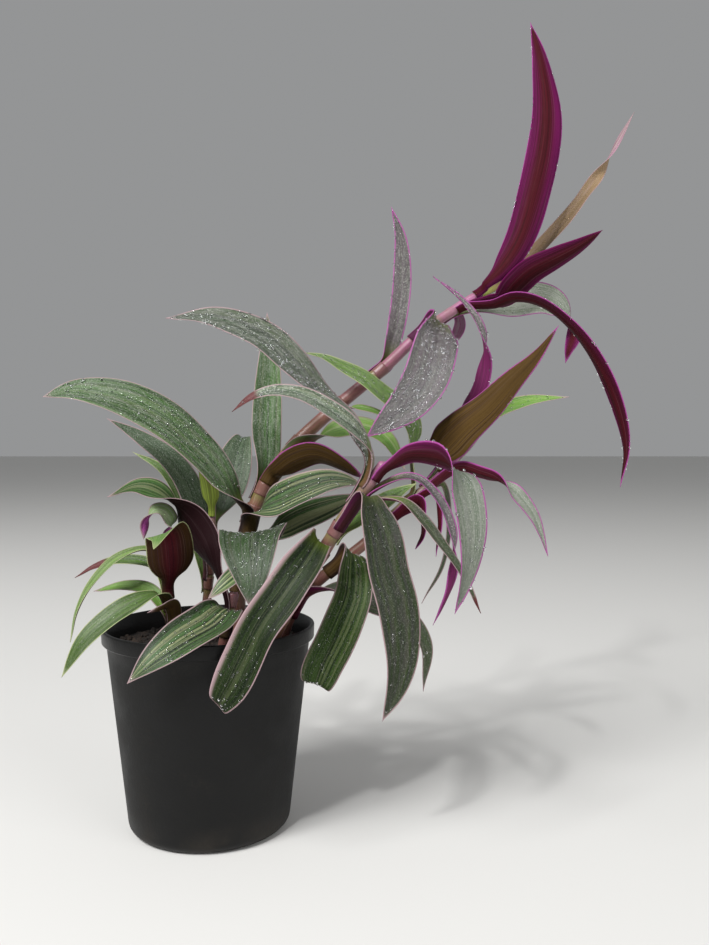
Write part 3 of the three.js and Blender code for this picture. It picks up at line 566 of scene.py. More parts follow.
def scatter(name, pattern, spots):
    """Copies a small mesh to each spot, which is a place, three axes and a scale for each axis."""
    shape = places_of(pattern)
    faces = [tuple(face.vertices) for face in pattern.data.polygons]
    places, polygons = [], []
    for count, (place, axes, sizes) in enumerate(spots):
        places.append(place + (shape * sizes) @ axes)
        polygons += [tuple(v + count * len(shape) for v in face) for face in faces]
    mesh = bpy.data.meshes.new(name)
    mesh.from_pydata(np.concatenate(places).tolist(), [], polygons)
    mesh.update()
    piece = bpy.data.objects.new(name, mesh)
    bpy.context.collection.objects.link(piece)
    bpy.data.objects.remove(pattern)
    shade(piece)
    return piece


# ---------- Finishes ----------

class Value:
    """One output of a shader node. Arithmetic on it adds Math nodes."""

    def __init__(self, paint, socket):
        self.paint = paint
        self.socket = socket

    def maths(self, operation, *values):
        return self.paint.node("ShaderNodeMath", {"operation": operation}, dict(enumerate(values)))

    def __add__(self, other):
        return self.maths("ADD", self, other)

    def __sub__(self, other):
        return self.maths("SUBTRACT", self, other)

    def __rsub__(self, other):
        return self.maths("SUBTRACT", other, self)

    def __mul__(self, other):
        return self.maths("MULTIPLY", self, other)

    __radd__ = __add__
    __rmul__ = __mul__

    def __abs__(self):
        return self.maths("ABSOLUTE", self)

    def ramp(self, low, high, start=0.0, end=1.0):
        """Eases from start to end as the value goes from low to high."""
        settings = {"interpolation_type": "SMOOTHSTEP"}
        return self.paint.node("ShaderNodeMapRange", settings, {0: self, 1: low, 2: high, 3: start, 4: end})


class Paint:
    """A finish built of shader nodes."""

    def __init__(self, name):
        self.material = bpy.data.materials.new(name)
        self.material.use_nodes = True
        self.tree = self.material.node_tree
        self.shader = next(n for n in self.tree.nodes if n.type == "BSDF_PRINCIPLED")

    def feed(self, socket, value):
        """Links a value to a socket, or sets the socket to a plain number or colour."""
        if isinstance(value, Value):
            self.tree.links.new(value.socket, socket)
        else:
            socket.default_value = value

    def node(self, kind, settings=None, sockets=None, output=0):
        """Adds a node, sets it up, then feeds its sockets, which are named or numbered."""
        node = self.tree.nodes.new(kind)
        for key, value in (settings or {}).items():
            setattr(node, key, value)
        for key, value in (sockets or {}).items():
            self.feed(node.inputs[key], value)
        return Value(self, node.outputs[output])

    def stored(self, name):
        """A number that store left at the corners."""
        return self.node("ShaderNodeAttribute", {"attribute_name": name}, output=2)

    def point(self, x, y, z):
        return self.node("ShaderNodeCombineXYZ", {}, {0: x, 1: y, 2: z})

    def place(self):
        """Object coordinates, in metres."""
        return self.node("ShaderNodeTexCoord", output=3)

    def height(self):
        return self.node("ShaderNodeSeparateXYZ", {}, {0: self.place()}, output=2)

    def grain(self, where, scale, detail=2.0, roughness=0.5):
        """Soft noise from 0 to 1."""
        return self.node("ShaderNodeTexNoise", {},
                         {"Vector": where, "Scale": scale, "Detail": detail, "Roughness": roughness})

    def blend(self, share, low, high, way="MIX"):
        """A colour that passes from low to high as share goes from 0 to 1."""
        settings = {"data_type": "RGBA", "blend_type": way, "clamp_factor": True}
        return self.node("ShaderNodeMix", settings, {0: share, 6: low, 7: high}, output=2)

    def relief(self, height, depth):
        """A normal that follows a height from 0 to 1, which stands for a depth in metres."""
        return self.node("ShaderNodeBump", {}, {"Height": height, "Distance": depth})

    def finish(self, **sockets):
        """Feeds the shader and gives the material."""
        for key, value in sockets.items():
            self.feed(self.shader.inputs[key.replace("_", " ").title().replace("Ior", "IOR")], value)
        return self.material


PAINTS = {}


def painted(name, make, *values):
    """The finish of that name, made the first time it is asked for."""
    if name not in PAINTS:
        PAINTS[name] = make(name, *values)
    return PAINTS[name]


class Look:
    """One kind of blade.

    Its colours are the dark and light of the upper side, the underside and the middle of that, the bloom
    and the margin. contrast is how much dark and light differ, stripes, bloom and down how much pale
    stripes, bloom and hairs show, the hairs with the painted glints of their fine droplets, glow how many
    millimetres its root's yellow-green reaches, rim how many millimetres wide its margin is, and gloss
    how much it shines.
    """

    def __init__(self, colours, contrast, stripes, bloom, down, glow, rim, gloss):
        self.dark, self.light, self.under, self.middle, self.frost, self.margin = colours.split()
        self.contrast, self.stripes, self.bloom, self.down = contrast, stripes, bloom, down
        self.glow, self.rim, self.gloss = glow, rim, gloss


# In each row: dark, light, under, middle, frost, margin; contrast, stripes, bloom, down, glow, rim, gloss.
LOOKS = {
    "green": Look("deep_green green burgundy olive frost margin",
                  0.55, 0.12, 0.4, 0.45, 18, 0.5, 0.3),
    "striped": Look("deep_green green burgundy olive frost margin",
                    0.9, 0.8, 0.12, 0.2, 14, 0.8, 0.3),
    "streaked": Look("deep_green shade_green burgundy olive light_green margin",
                     0.9, 0.22, 0.1, 0.15, 26, 0.8, 0.12),
    "blue": Look("deep_green grey_green burgundy rosewood grey_green margin",
                 0.5, 0.05, 0.4, 0.4, 14, 0.6, 0.25),
    "bright": Look("shade_green light_green shade_green olive frost stripe",
                   0.6, 0.2, 0.2, 0.35, 14, 0.5, 0.3),
    "sage": Look("deep_green grey_green rosewood olive frost margin",
                 0.6, 0.15, 0.45, 0.75, 30, 0.8, 0.35),
    "pale": Look("green light_green shade_green olive stripe margin",
                 0.7, 0.45, 0.2, 0.1, 14, 0.5, 0.3),
    "yellow": Look("yellow_green yellow_green yellow_green yellow_green stripe stripe",
                   0.4, 0.1, 0.1, 0.05, 14, 0.4, 0.3),
    "silver": Look("slate grey_green magenta rosewood frost margin",
                   0.6, 0.1, 0.7, 0.75, 30, 0.7, 0.3),
    "dusky": Look("slate shade_green magenta rosewood violet margin",
                  0.7, 0.12, 0.4, 0.3, 34, 0.7, 0.15),
    "violet": Look("slate violet magenta magenta frost bright_margin",
                   0.6, 0.05, 0.4, 0.7, 28, 0.9, 0.3),
    "frosted": Look("grey_green frost magenta rosewood frost bright_margin",
                    0.5, 0.05, 0.7, 0.6, 30, 0.9, 0.12),
    "hooded": Look("green light_green umber rosewood frost stripe",
                   0.6, 0.3, 0.2, 0.2, 16, 0.5, 0.12),
    "bract": Look("light_green frost magenta bright_margin margin margin",
                  0.6, 0.3, 0.3, 0.1, 10, 1.0, 0.15),
    "magenta": Look("magenta violet magenta rosewood margin bright_margin",
                    0.6, 0.0, 0.3, 0.2, 10, 0.5, 0.06),
    "burgundy": Look("violet frost magenta rosewood frost magenta",
                     0.6, 0.0, 0.3, 0.2, 10, 0.6, 0.06),
    "beige": Look("beige beige bright_margin margin margin margin",
                  0.4, 0.0, 0.3, 0.1, 20, 0.5, 0.15),
    "olive": Look("deep_green green olive olive frost bright_margin",
                  0.8, 0.3, 0.1, 0.1, 10, 0.7, 0.08),
    "dark": Look("deep_green green burgundy burgundy frost margin",
                 0.8, 0.4, 0.1, 0.1, 14, 0.5, 0.08),
}

# How often the marks of a blade repeat in a millimetre across and along it, and how detailed they are.
MARKS = {
    "strands": (1.5, 0.012, 3),
    "broad": (0.45, 0.006, 2),
    "threads": (4.0, 0.05, 2),
    "mottle": (0.7, 0.12, 4),
    "stripes": (0.42, 0.003, 1),
    "pins": (1.15, 0.008, 1),
}
# How often the finer grain repeats in a metre: droplets and hairs on a blade, hairs and stains on a
# cane, clouds and scuffs on the pot, lumps and dust of the soil.
SPECKLE, FUZZ = 1500.0, 2600.0
DOWN, BLOTCH = 1800.0, 140.0
CLOUD, SCUFF = 38.0, 620.0
LUMP, DUST = 160.0, 900.0
# How deep the fine relief of each finish is.
VEINS = 0.35 * MM
STEM_RIBS = 0.3 * MM
SCUFFS = 0.12 * MM
SOIL_GRAIN = 0.8 * MM
# How high up the pot's foot the lime reaches.
SPLASHED = 22 * MM


def leaf_paint(name, look, colours):
    """A striped, veined and slightly downy blade, with an underside of its own."""
    paint = Paint(name)
    line, along, rim, root, tip, dry = (
        paint.stored(key + "_mm") for key in ("line", "along", "rim", "root", "tip", "dry"))
    seed, upper, band, tone = (paint.stored(key) for key in ("leaf_seed", "upper", "band", "tone"))

    def pick(key):
        return tuple(getattr(colours, key))

    def marks(kind, start=seed, roughness=0.5):
        aside, onward, detail = MARKS[kind]
        return paint.grain(paint.point(line * aside, along * onward, start), 1.0, detail, roughness)

    strands, threads, mottle = marks("strands"), marks("threads"), marks("mottle", roughness=0.6)
    stripes = marks("stripes").ramp(0.55, 0.62)
    pins = marks("pins", seed + 9.0).ramp(0.58, 0.68)
    speckle = paint.grain(paint.place(), SPECKLE, 3, 0.7).ramp(0.52, 0.66)
    fuzz = paint.grain(paint.place(), FUZZ, 2)
    fade = root.ramp(4.0, 30.0)

    spread = look.contrast / 2
    streaks = (strands + marks("broad", seed + 4.0)).ramp(0.78, 1.22, 0.5 - spread, 0.5 + spread)
    top = paint.blend(streaks, pick(look.dark), pick(look.light))
    top = paint.blend(stripes * look.stripes * 0.75, top, pick("stripe"))
    top = paint.blend(pins * look.stripes * 0.6, top, pick("stripe"))
    bloom = mottle.ramp(0.4, 0.66) * strands.ramp(0.35, 0.6, 0.35, 1.0) * look.bloom
    top = paint.blend(bloom * fade * 0.9, top, pick(look.frost))
    # The pale speckle is partly downy hairs and partly painted highlight, the glints of fine droplets.
    top = paint.blend(speckle * look.down * fade, top, pick("down"))
    # Painted shade and painted light: the upper side is multiplied by a number of the blade's own, partly
    # its own lightness and partly painted shade and light, darkest on the blades that hang in shadow.
    top = paint.blend(1.0, top, tone, "MULTIPLY")
    top = paint.blend(band * (0.9 - threads * 0.5), top, pick("margin"))
    top = paint.blend(root.ramp(look.glow, 1.0, 0.0, 0.75), top, pick("yellow_green"))

    beside = (abs(line) + (strands - 0.5) * 7.0).ramp(1.5, 10.0)
    under = paint.blend(beside, pick(look.middle), pick(look.under))
    under = paint.blend(pins * 0.08, under, pick("margin"))
    under = paint.blend(strands.ramp(0.6, 0.35) * 0.5, under, pick("burgundy"))
    # The underside takes the same painted shade and painted light.
    under = paint.blend(1.0, under, tone, "MULTIPLY")

    body = paint.blend(upper, under, top)
    edging = (rim + speckle * 0.3).ramp(look.rim + 0.2, look.rim * 0.45)
    body = paint.blend(edging * 0.85, body, pick(look.margin))
    body = paint.blend(tip.ramp(7.0, 0.5) * 0.5, body, pick(look.margin))
    body = paint.blend((tip - dry).ramp(2.5, -1.5) * dry.ramp(0.0, 0.5), body, pick("dry"))
    rough = mottle.ramp(0.3, 0.7, 0.3, 0.48) + fuzz * 0.08 + (1.0 - upper) * 0.2
    normal = paint.relief(threads * 0.4 + strands * 0.5 + fuzz * 0.12, VEINS)
    return paint.finish(base_color=body, roughness=rough, normal=normal, specular_ior_level=look.gloss)


def stem_paint(name, colours):
    """A fleshy cane: streaked skin, yellow-green joints and dry sheaths."""
    paint = Paint(name)
    skin, blush, green, brown = (
        tuple(getattr(colours, key)) for key in ("skin", "blush", "joint", "husk"))
    joint, line, along = (paint.stored(key + "_mm") for key in ("joint", "line", "along"))
    up, sheath = paint.stored("up_share"), paint.stored("sheath")
    streak = paint.grain(paint.point(line * 0.9, along * 0.03, up), 1.0, 3)
    blotch = paint.grain(paint.place(), BLOTCH, 3)
    down = paint.grain(paint.place(), DOWN, 2)
    fresh = paint.blend(up.ramp(0.55, 1.0), skin, blush)
    fresh = paint.blend(streak.ramp(0.35, 0.7) * 0.35, fresh, green)
    fresh = paint.blend(blotch.ramp(0.4, 0.75) * 0.3, fresh, brown)
    fresh = paint.blend(abs(joint).ramp(9.0, 1.0) * up.ramp(0.97, 0.85) * 0.7, fresh, green)
    papery = paint.blend(streak.ramp(0.3, 0.7) * 0.5, brown, skin)
    return paint.finish(base_color=paint.blend(sheath * 0.6, fresh, papery),
                        roughness=blotch.ramp(0.3, 0.7, 0.32, 0.5),
                        normal=paint.relief(streak * 0.7 + down * 0.2, STEM_RIBS),
                        sheen_weight=0.15, sheen_roughness=0.4)


def pot_paint(name, pot):
    """Black moulded plastic, glossier on the band, with dust, dried lime and fine scuffs."""
    paint = Paint(name)
    place, up = paint.place(), paint.height()
    cloud = paint.grain(place, CLOUD, 4, 0.6)
    scuff = paint.grain(place, SCUFF, 3, 0.65)
    foot = pot.height - pot.band
    band = up.ramp(foot - MM, foot + MM)
    dust = cloud.ramp(0.5, 0.78) * scuff.ramp(0.35, 0.7)
    lime = up.ramp(SPLASHED, 0.0) * cloud.ramp(0.35, 0.65)
    body = paint.blend(dust * 0.22 + lime * 0.3, tuple(pot.plastic), tuple(pot.dust))
    rough = cloud.ramp(0.3, 0.7, 0.42, 0.56) + scuff * 0.1 - band * 0.14
    return paint.finish(base_color=body, roughness=rough, normal=paint.relief(scuff, SCUFFS),
                        specular_ior_level=0.25)


def soil_paint(name, soil):
    """Dark, damp, crumbly soil."""
    paint = Paint(name)
    lump = paint.grain(paint.place(), LUMP, 4, 0.65)
    dusty = paint.grain(paint.place(), DUST, 3, 0.6)
    body = paint.blend(lump.ramp(0.35, 0.7) * dusty.ramp(0.3, 0.65), tuple(soil.dark), tuple(soil.light))
    return paint.finish(base_color=body, roughness=lump.ramp(0.3, 0.7, 0.72, 0.95),
                        normal=paint.relief(dusty + lump, SOIL_GRAIN))


def water_paint(name):
    """Clear water."""
    return Paint(name).finish(base_color=(0.94, 0.96, 0.97, 1.0), roughness=0.03, ior=1.33,
                              transmission_weight=1.0)


def floor_paint(name, stage):
    """The plain pale floor."""
    return Paint(name).finish(base_color=tuple(stage.floor), roughness=0.8)


# ---------- Blades ----------

# Faces across and along a blade, closer together towards its tip.
COLUMNS = 16
ROWS = 76
CROWDED, CROWDING = 0.55, 1.6
# A blade's direction is carried along its midrib in this many steps.
SAMPLES = 160
# A blade looks its own way this share of its length after it has turned.
SETTLED = 0.1
# The most of a leaf that wraps its stem, and the room between them.
CLASP_LONGEST = 6 * MM
CLASP_GAP = 0.5 * MM
# The plain blades of the frame: their thickness and their faces across.
SOLID_THICK = 0.8 * MM
SOLID_COLUMNS = 4
NARROWEST = 0.25 * MM
# A blade leaves its stem at this share of its width, and its gutter has opened and flattened so much.
ROOT_WIDTH = 0.62
GUTTER_OPENS = 0.22
GUTTER_FLATTENS = 0.4
# The wave of the margins: how wide a blade waves in full, how long the wave is and how far, in
# radians, one margin runs ahead of the other.
WAVY_WIDTH = 22
WAVE_LENGTH = 9 * MM
WAVE_LEAD = 1.9
GROOVE_WIDTH = 1.3 * MM
# What is left of the thickness at the margins and at the tip.
THIN_MARGIN = 0.45
THIN_TIP = 0.6
# A random wave starts anywhere in a turn.
ANY_PHASE = 6.28
# A blade fills this share of its width by its length, and some of the drops that are tried miss it.
FULLNESS = 0.75
SQUARE_CM = 100
DROP_TRIES = 1.5
BEAD_TRIES = 2
# A drop's middle is this far over the face, moved along it by as much as its jitter.
DROP_RISE = 0.05 * MM
DROP_JITTER = 0.8
# The shares of a blade's length and half width that are wet, how far in from the margin drops stay,
# and how long and how tall they are beside their width.
WET_RUN, BEAD_RUN = (0.12, 0.98), (0.2, 0.98)
WET_SPAN, BEAD_SPAN = 0.92, (0.95, 1.0)
DRY_MARGIN = 0.6 * MM
DROP_LONG, DROP_TALL, BEAD_TALL = (0.9, 1.3), (0.5, 0.75), 0.85


def stem_radius(stem, share):
    """Radius of a stem at a share of its length."""
    return mix(stem["radius"], stem["tip"], share * share) * MM


def blade_width(t, leaf):
    """Width of the blade from its root (0) to its tip (1), as a share of its widest."""
    if t < leaf.belly:
        return ROOT_WIDTH + (1 - ROOT_WIDTH) * math.sin(math.pi / 2 * t / leaf.belly)
    return 1 - ((t - leaf.belly) / (1 - leaf.belly)) ** leaf.blunt


def midrib(leaf):
    """The midrib's curve, up the stem inside the clasping root and then out to the tip."""
    stem = STEMS[leaf.stem]
    curve = Spine(stem["route"])
    place = curve.at_height(leaf.root * MM)
    clasp = min(CLASP_LONGEST, (2.5 + leaf.width / 6) * MM)
    foot = place - clasp / curve.length
    centre = curve.at(place)
    outward = across(np.array(leaf.path[0]) * MM - centre, curve.heading(place))
    radius = (stem_radius(stem, foot) + CLASP_GAP) / math.cos(leaf.clasp / SOLID_COLUMNS) + SOLID_THICK / 2
    start = curve.at(foot) + across(outward, curve.heading(foot)) * radius
    leave = centre + outward * radius
    spine = Spine([start / MM, leave / MM, *leaf.path])
    return spine, outward, radius, clasp / spine.length


def blade_frames(leaf):
    """The blade at each of its rows, its length and how much of that wraps the stem.

    A row has its point on the midrib, its heading, the way its upper side looks, the half angle and the
    arc of its gutter shape, its share t of the free blade and its distance along the midrib.
    """
    spine, outward, radius, share_clasp = midrib(leaf)
    headings, ups = [], []
    up = across(-outward, spine.heading(0))
    for k in range(SAMPLES + 1):
        headings.append(spine.heading(k / SAMPLES))
        up = across(up, headings[-1])
        ups.append(up)

    def turn_to(want, k):
        goal = across(np.array(want, float), headings[k])
        return math.atan2(np.dot(np.cross(ups[k], goal), headings[k]), np.dot(ups[k], goal))

    turn, twist = leaf.turn, leaf.twist
    middle = turn_to(leaf.face, round(SAMPLES * (turn[1] + SETTLED))) if leaf.face else 0
    end = turn_to(leaf.tip, round(SAMPLES * (1 + twist[1]) / 2)) if leaf.tip else middle
    frames = []
    for row in range(ROWS + 1):
        even = row / ROWS
        share = mix(even, 1 - (1 - even) ** CROWDING, CROWDED)
        k = share * SAMPLES
        low = min(SAMPLES - 1, int(k))
        heading = unit(mix(headings[low], headings[low + 1], k - low))
        side_up = across(mix(ups[low], ups[low + 1], k - low), heading)
        t = max(0.0, (share - share_clasp) / (1 - share_clasp))
        angle = middle * ease(t, turn) + (end - middle) * ease(t, twist)
        blade = leaf.width * MM * max(0.0, blade_width(t, leaf))
        gutter = mix(leaf.clasp, leaf.channel * (1 - GUTTER_FLATTENS * t), smooth(t / GUTTER_OPENS))
        arc = mix(2 * leaf.clasp * radius, blade, smooth(t / leaf.wide))
        frames.append(dict(point=spine.at(share), heading=heading, up=turned(side_up, heading, angle),
                           angle=gutter, arc=max(NARROWEST, arc), t=t, along=share * spine.length))
    return frames, spine.length, share_clasp * spine.length


def gutter_at(frame, share, rise):
    """A place on a blade's underside, from -1 to 1 across it and raised, and the way out of it."""
    bend = frame["arc"] / (2 * frame["angle"])
    side = np.cross(frame["heading"], frame["up"])
    out = -frame["up"] * math.cos(frame["angle"] * share) + side * math.sin(frame["angle"] * share)
    return frame["point"] + frame["up"] * bend + out * (bend + rise), out


def blade(leaf, settings):
    """Shapes a grid into one blade, gives it its thickness and stores what its finish reads."""
    piece, cells = grid(leaf.name + "_blade", COLUMNS, ROWS)
    frames, whole, clasp = blade_frames(leaf)
    rng = random.Random(leaf.name)
    phase, swing = rng.uniform(0, ANY_PHASE), rng.uniform(0.8, 1.2)
    broad = min(1.0, leaf.width / WAVY_WIDTH)
    places, line, along, rim, thick = [], [], [], [], []
    for column, row in cells:
        frame = frames[row]
        share = 2 * column / COLUMNS - 1
        aside = abs(share) * frame["arc"] / 2
        swell = smooth(frame["t"] / 0.3) * smooth((1 - frame["t"]) / 0.1)
        start = phase + (WAVE_LEAD if share > 0 else 0)
        wave = math.sin(frame["along"] / WAVE_LENGTH * swing + start) * share * share
        lift = wave * settings.wave * broad * swell
        lift -= settings.groove * swell * math.exp(-(aside / GROOVE_WIDTH) ** 2)
        places.append(gutter_at(frame, share, -settings.thickness / 2 - lift)[0])
        line.append(share * leaf.width / 2)
        along.append(frame["along"] / MM)
        rim.append((frame["arc"] / 2 - aside) / MM)
        thick.append(mix(1.0, THIN_MARGIN, abs(share) ** 3) * mix(1.0, THIN_TIP, frame["t"]))
    set_places(piece, places)
    along, line = np.array(along), np.array(line)
    edge = 1 - 2 * leaf.band
    band = np.clip((line / (leaf.width / 2) - edge) / 0.06 + 0.5, 0, 1) if leaf.band else 0
    store(piece, line_mm=line, along_mm=along, rim_mm=rim, root_mm=along - clasp / MM,
          tip_mm=whole / MM - along, leaf_seed=rng.uniform(0, 90), dry_mm=leaf.dry, tone=leaf.tone,
          band=band)
    group = piece.vertex_groups.new(name="thickness")
    for corner, weight in enumerate(thick):
        group.add([corner], weight, "REPLACE")
    top = len(piece.data.vertices)
    modify(piece, "SOLIDIFY", thickness=settings.thickness, offset=-1, use_even_offset=False,
           vertex_group=group.name, thickness_vertex_group=0.0)
    store(piece, upper=np.arange(len(piece.data.vertices)) < top)
    piece.vertex_groups.clear()
    shade(piece)
    return piece


def drops_on(leaf, water, thickness):
    """Places for the drops on a wet blade and for the beads along its margins."""
    frames, whole, _ = blade_frames(leaf)
    rng = random.Random(leaf.name + " water")
    runs = [frame["along"] for frame in frames]
    spots = []

    def row_in(run):
        return frames[np.searchsorted(runs, whole * rng.uniform(*run))]

    def add(frame, share, size, tall):
        place, out = gutter_at(frame, share, DROP_RISE - thickness / 2)
        place = place + frame["heading"] * rng.uniform(-DROP_JITTER, DROP_JITTER) * MM
        axes = np.array([np.cross(frame["heading"], out), frame["heading"], -out])
        spots.append((place, axes, np.array([size, size * rng.uniform(*DROP_LONG), size * tall])))

    area = leaf.width * whole / MM * FULLNESS / SQUARE_CM
    for _ in range(int(area * leaf.wet * DROP_TRIES)):
        frame, share = row_in(WET_RUN), rng.uniform(-WET_SPAN, WET_SPAN)
        within = (1 - abs(share)) * frame["arc"] / 2 > DRY_MARGIN
        if rng.random() * leaf.width * MM < frame["arc"] and within:
            add(frame, share, water.drop * rng.uniform(0.3, 1.0) ** 2.4, rng.uniform(*DROP_TALL))
    for _ in range(int(whole / MM / 10 * leaf.beads * BEAD_TRIES)):
        frame, share = row_in(BEAD_RUN), rng.choice((-1, 1)) * rng.uniform(*BEAD_SPAN)
        add(frame, share, water.bead * rng.uniform(0.35, 1.0) ** 2.2, BEAD_TALL)
    return spots


# ---------- Pieces ----------

POT_SIDES = 96
# The rounding of the pot's foot, and the steps it is drawn in.
FOOT_ROUNDING = 6 * MM
FOOT_STEPS = 6
POT_FLOOR = 2.4 * MM
# The drain holes of the floor, and the circle they stand on.
DRAIN_HOLES = 6
DRAIN_RADIUS = 4 * MM
DRAIN_CIRCLE = 32 * MM
# Heights at which the long walls are divided.
WALL_RINGS = (0.02, 0.05, 0.08, 0.105)


def outside(pot, height):
    """Outside radius of the pot's tapered wall."""
    return mix(pot.base_radius, pot.rim_radius - pot.proud, height / pot.height)


def inside(pot, height):
    """Inside radius of the pot's tapered wall."""
    return outside(pot, height) - pot.wall


def around(radius, angle, height):
    """The place at an angle around the pot's axis."""
    return radius * math.cos(angle), radius * math.sin(angle), height


class TRADESCANTIA_OT_pot(Operator):
    """Adds the round black nursery pot"""
    bl_idname = "tradescantia.pot"
    bl_label = "Pot"

    def execute(self, context):
        pot = context.scene.tradescantia.pot
        rim, top, foot = pot.rim_radius, pot.height, pot.height - pot.band
        rings = []
        for k in range(FOOT_STEPS + 1):
            angle = math.pi / 2 * k / FOOT_STEPS
            height = FOOT_ROUNDING * (1 - math.cos(angle))
            rings.append((outside(pot, height) - FOOT_ROUNDING * (1 - math.sin(angle)), height))
        rings += [(outside(pot, height), height) for height in (*WALL_RINGS, foot - 0.4 * MM)]
        rings += [(outside(pot, foot) + 0.3 * MM, foot)]
        rings += [(rim - inset * MM, foot + rise * MM) for inset, rise in ((0.8, 0.3), (0.25, 0.9))]
        rings += [(rim - inset * MM, top - drop * MM)
                  for inset, drop in ((0, 1.1), (0.25, 0.35), (0.9, 0), (1.8, 0), (2.4, 0.5))]
        rings += [(inside(pot, height), height) for height in (foot, 0.06)]
        rings += [(inside(pot, FOOT_ROUNDING) - MM, FOOT_ROUNDING),
                  (inside(pot, FOOT_ROUNDING) - 4 * MM, POT_FLOOR)]
        start_fresh()
        bpy.ops.mesh.primitive_circle_add(vertices=POT_SIDES, radius=rings[0][0], fill_type="NGON")
        piece = named("nursery_pot")
        bpy.ops.object.mode_set(mode="EDIT")
        bpy.ops.mesh.select_all(action="SELECT")
        for (before, low), (after, high) in zip(rings, rings[1:]):
            grow = after / before
            bpy.ops.mesh.extrude_region_move(TRANSFORM_OT_translate={"value": (0, 0, high - low)})
            bpy.ops.transform.resize(value=(grow, grow, 1), center_override=(0, 0, high))
        bpy.ops.mesh.select_all(action="SELECT")
        bpy.ops.mesh.normals_make_consistent(inside=False)
        bpy.ops.object.mode_set(mode="OBJECT")
        for k in range(DRAIN_HOLES):
            start_fresh()
            bpy.ops.mesh.primitive_cylinder_add(
                vertices=24, radius=DRAIN_RADIUS, depth=2 * FOOT_ROUNDING,
                location=around(DRAIN_CIRCLE, math.tau * (k + 0.5) / DRAIN_HOLES, 0))
            hole = bpy.context.object
            modify(piece, "BOOLEAN", object=hole, operation="DIFFERENCE", solver="EXACT")
            bpy.data.objects.remove(hole)
        shade(piece, 40)
        seat(piece, painted("black_plastic", pot_paint, pot), SLOTS["pot"], "pot")
        return {"FINISHED"}


# The sides and rows of the soil's mesh.
SOIL_SIDES = 120
SOIL_ROWS = 44
SOIL_FOOT = 2.8 * MM
# How far the even soil is under the top of its highest mound, and the room between it and the wall.
SOIL_MOUNDS = 2.4 * MM
SOIL_ROOM = 0.3 * MM


class TRADESCANTIA_OT_soil(Operator):
    """Adds the soil and its loose crumbs"""
    bl_idname = "tradescantia.soil"
    bl_label = "Soil"

    def execute(self, context):
        pot, soil = context.scene.tradescantia.pot, context.scene.tradescantia.soil

        def wall(height):
            return inside(pot, height) - SOIL_ROOM

        top = SOIL_HIGH - SOIL_MOUNDS
        brim = wall(top) - 0.2 * MM
        profile = [(0, SOIL_FOOT), (wall(SOIL_FOOT) - 4 * MM, SOIL_FOOT), (wall(8 * MM) - 1.5 * MM, 8 * MM)]
        profile += [(wall(height), height) for height in (0.05, 0.105)]
        profile.append((brim, top))
        flank = len(profile)
        steps = SOIL_ROWS + 1 - flank
        profile += [(brim * (1 - (k + 1) / steps), top) for k in range(steps)]
        piece, cells = grid("potting_soil", SOIL_SIDES, SOIL_ROWS)
        places = []
        for column, row in cells:
            radius, height = profile[row]
            place = Vector(around(radius, math.tau * column / SOIL_SIDES, height))
            if row >= flank:
                place.z += 1.7 * MM * noise.noise(place * 90) + 1.1 * MM * noise.noise(place * 300)
                place.z += 0.7 * MM * noise.noise(place * 800)
            places.append(place)
        set_places(piece, places)
        close_seams(piece, fill=False)
        shade(piece)
        paint = painted("potting_soil", soil_paint, soil)
        seat(piece, paint, SLOTS["soil"], "soil")

        rng = random.Random("crumbs")
        start_fresh()
        bpy.ops.mesh.primitive_ico_sphere_add(subdivisions=2, radius=1)
        crumb = named("crumb")
        set_places(crumb, [Vector(p) * (1 + 0.45 * noise.noise(Vector(p) * 1.7)) for p in places_of(crumb)])
        spots = []
        for _ in range(soil.crumbs):
            angle, reach = rng.uniform(0, math.tau), math.sqrt(rng.random()) * (wall(top) - 3 * MM)
            size = soil.crumb_size * rng.uniform(0.25, 1.0) ** 1.6
            turn = np.linalg.qr(np.array([[rng.gauss(0, 1) for _ in range(3)] for _ in range(3)]))[0]
            place = np.array(around(reach, angle, top + size * 0.25))
            spots.append((place, turn, size * np.array([1, rng.uniform(0.6, 1), rng.uniform(0.5, 0.9)])))
        seat(scatter("soil_crumbs", crumb, spots), paint, SLOTS["soil"])
        return {"FINISHED"}


TUBE_SIDES = 28
# The length of one ring of a stem, and of its rounded end.
STEM_RING = 1.6 * MM
STEM_END = 2.2 * MM
# A joint swells by this share, over this many millimetres.
JOINT_SWELL = 0.05
JOINT_REACH = 2.0
SHEATH_RINGS = 8
SHEATH_THICK = 0.15 * MM


def tube(name, curve, first, last, radius_at, rings):
    """A round tube along part of a curve, and what its finish reads."""
    piece, cells = grid(name, TUBE_SIDES, rings)
    places, along, line = [], [], []
    for column, row in cells:
        share = mix(first, last, row / rings)
        heading = curve.heading(share)
        side = across(np.array([0.0, 1.0, 0.0]), heading)
        other = np.cross(heading, side)
        angle = math.tau * column / TUBE_SIDES
        radius = radius_at(share, angle)
        places.append(curve.at(share) + side * radius * math.cos(angle) + other * radius * math.sin(angle))
        along.append(share * curve.length / MM)
        line.append(radius / MM * min(angle, math.tau - angle))
    set_places(piece, places)
    along = np.array(along)
    store(piece, along_mm=along, line_mm=line, up_share=along * MM / curve.length)
    return piece, along


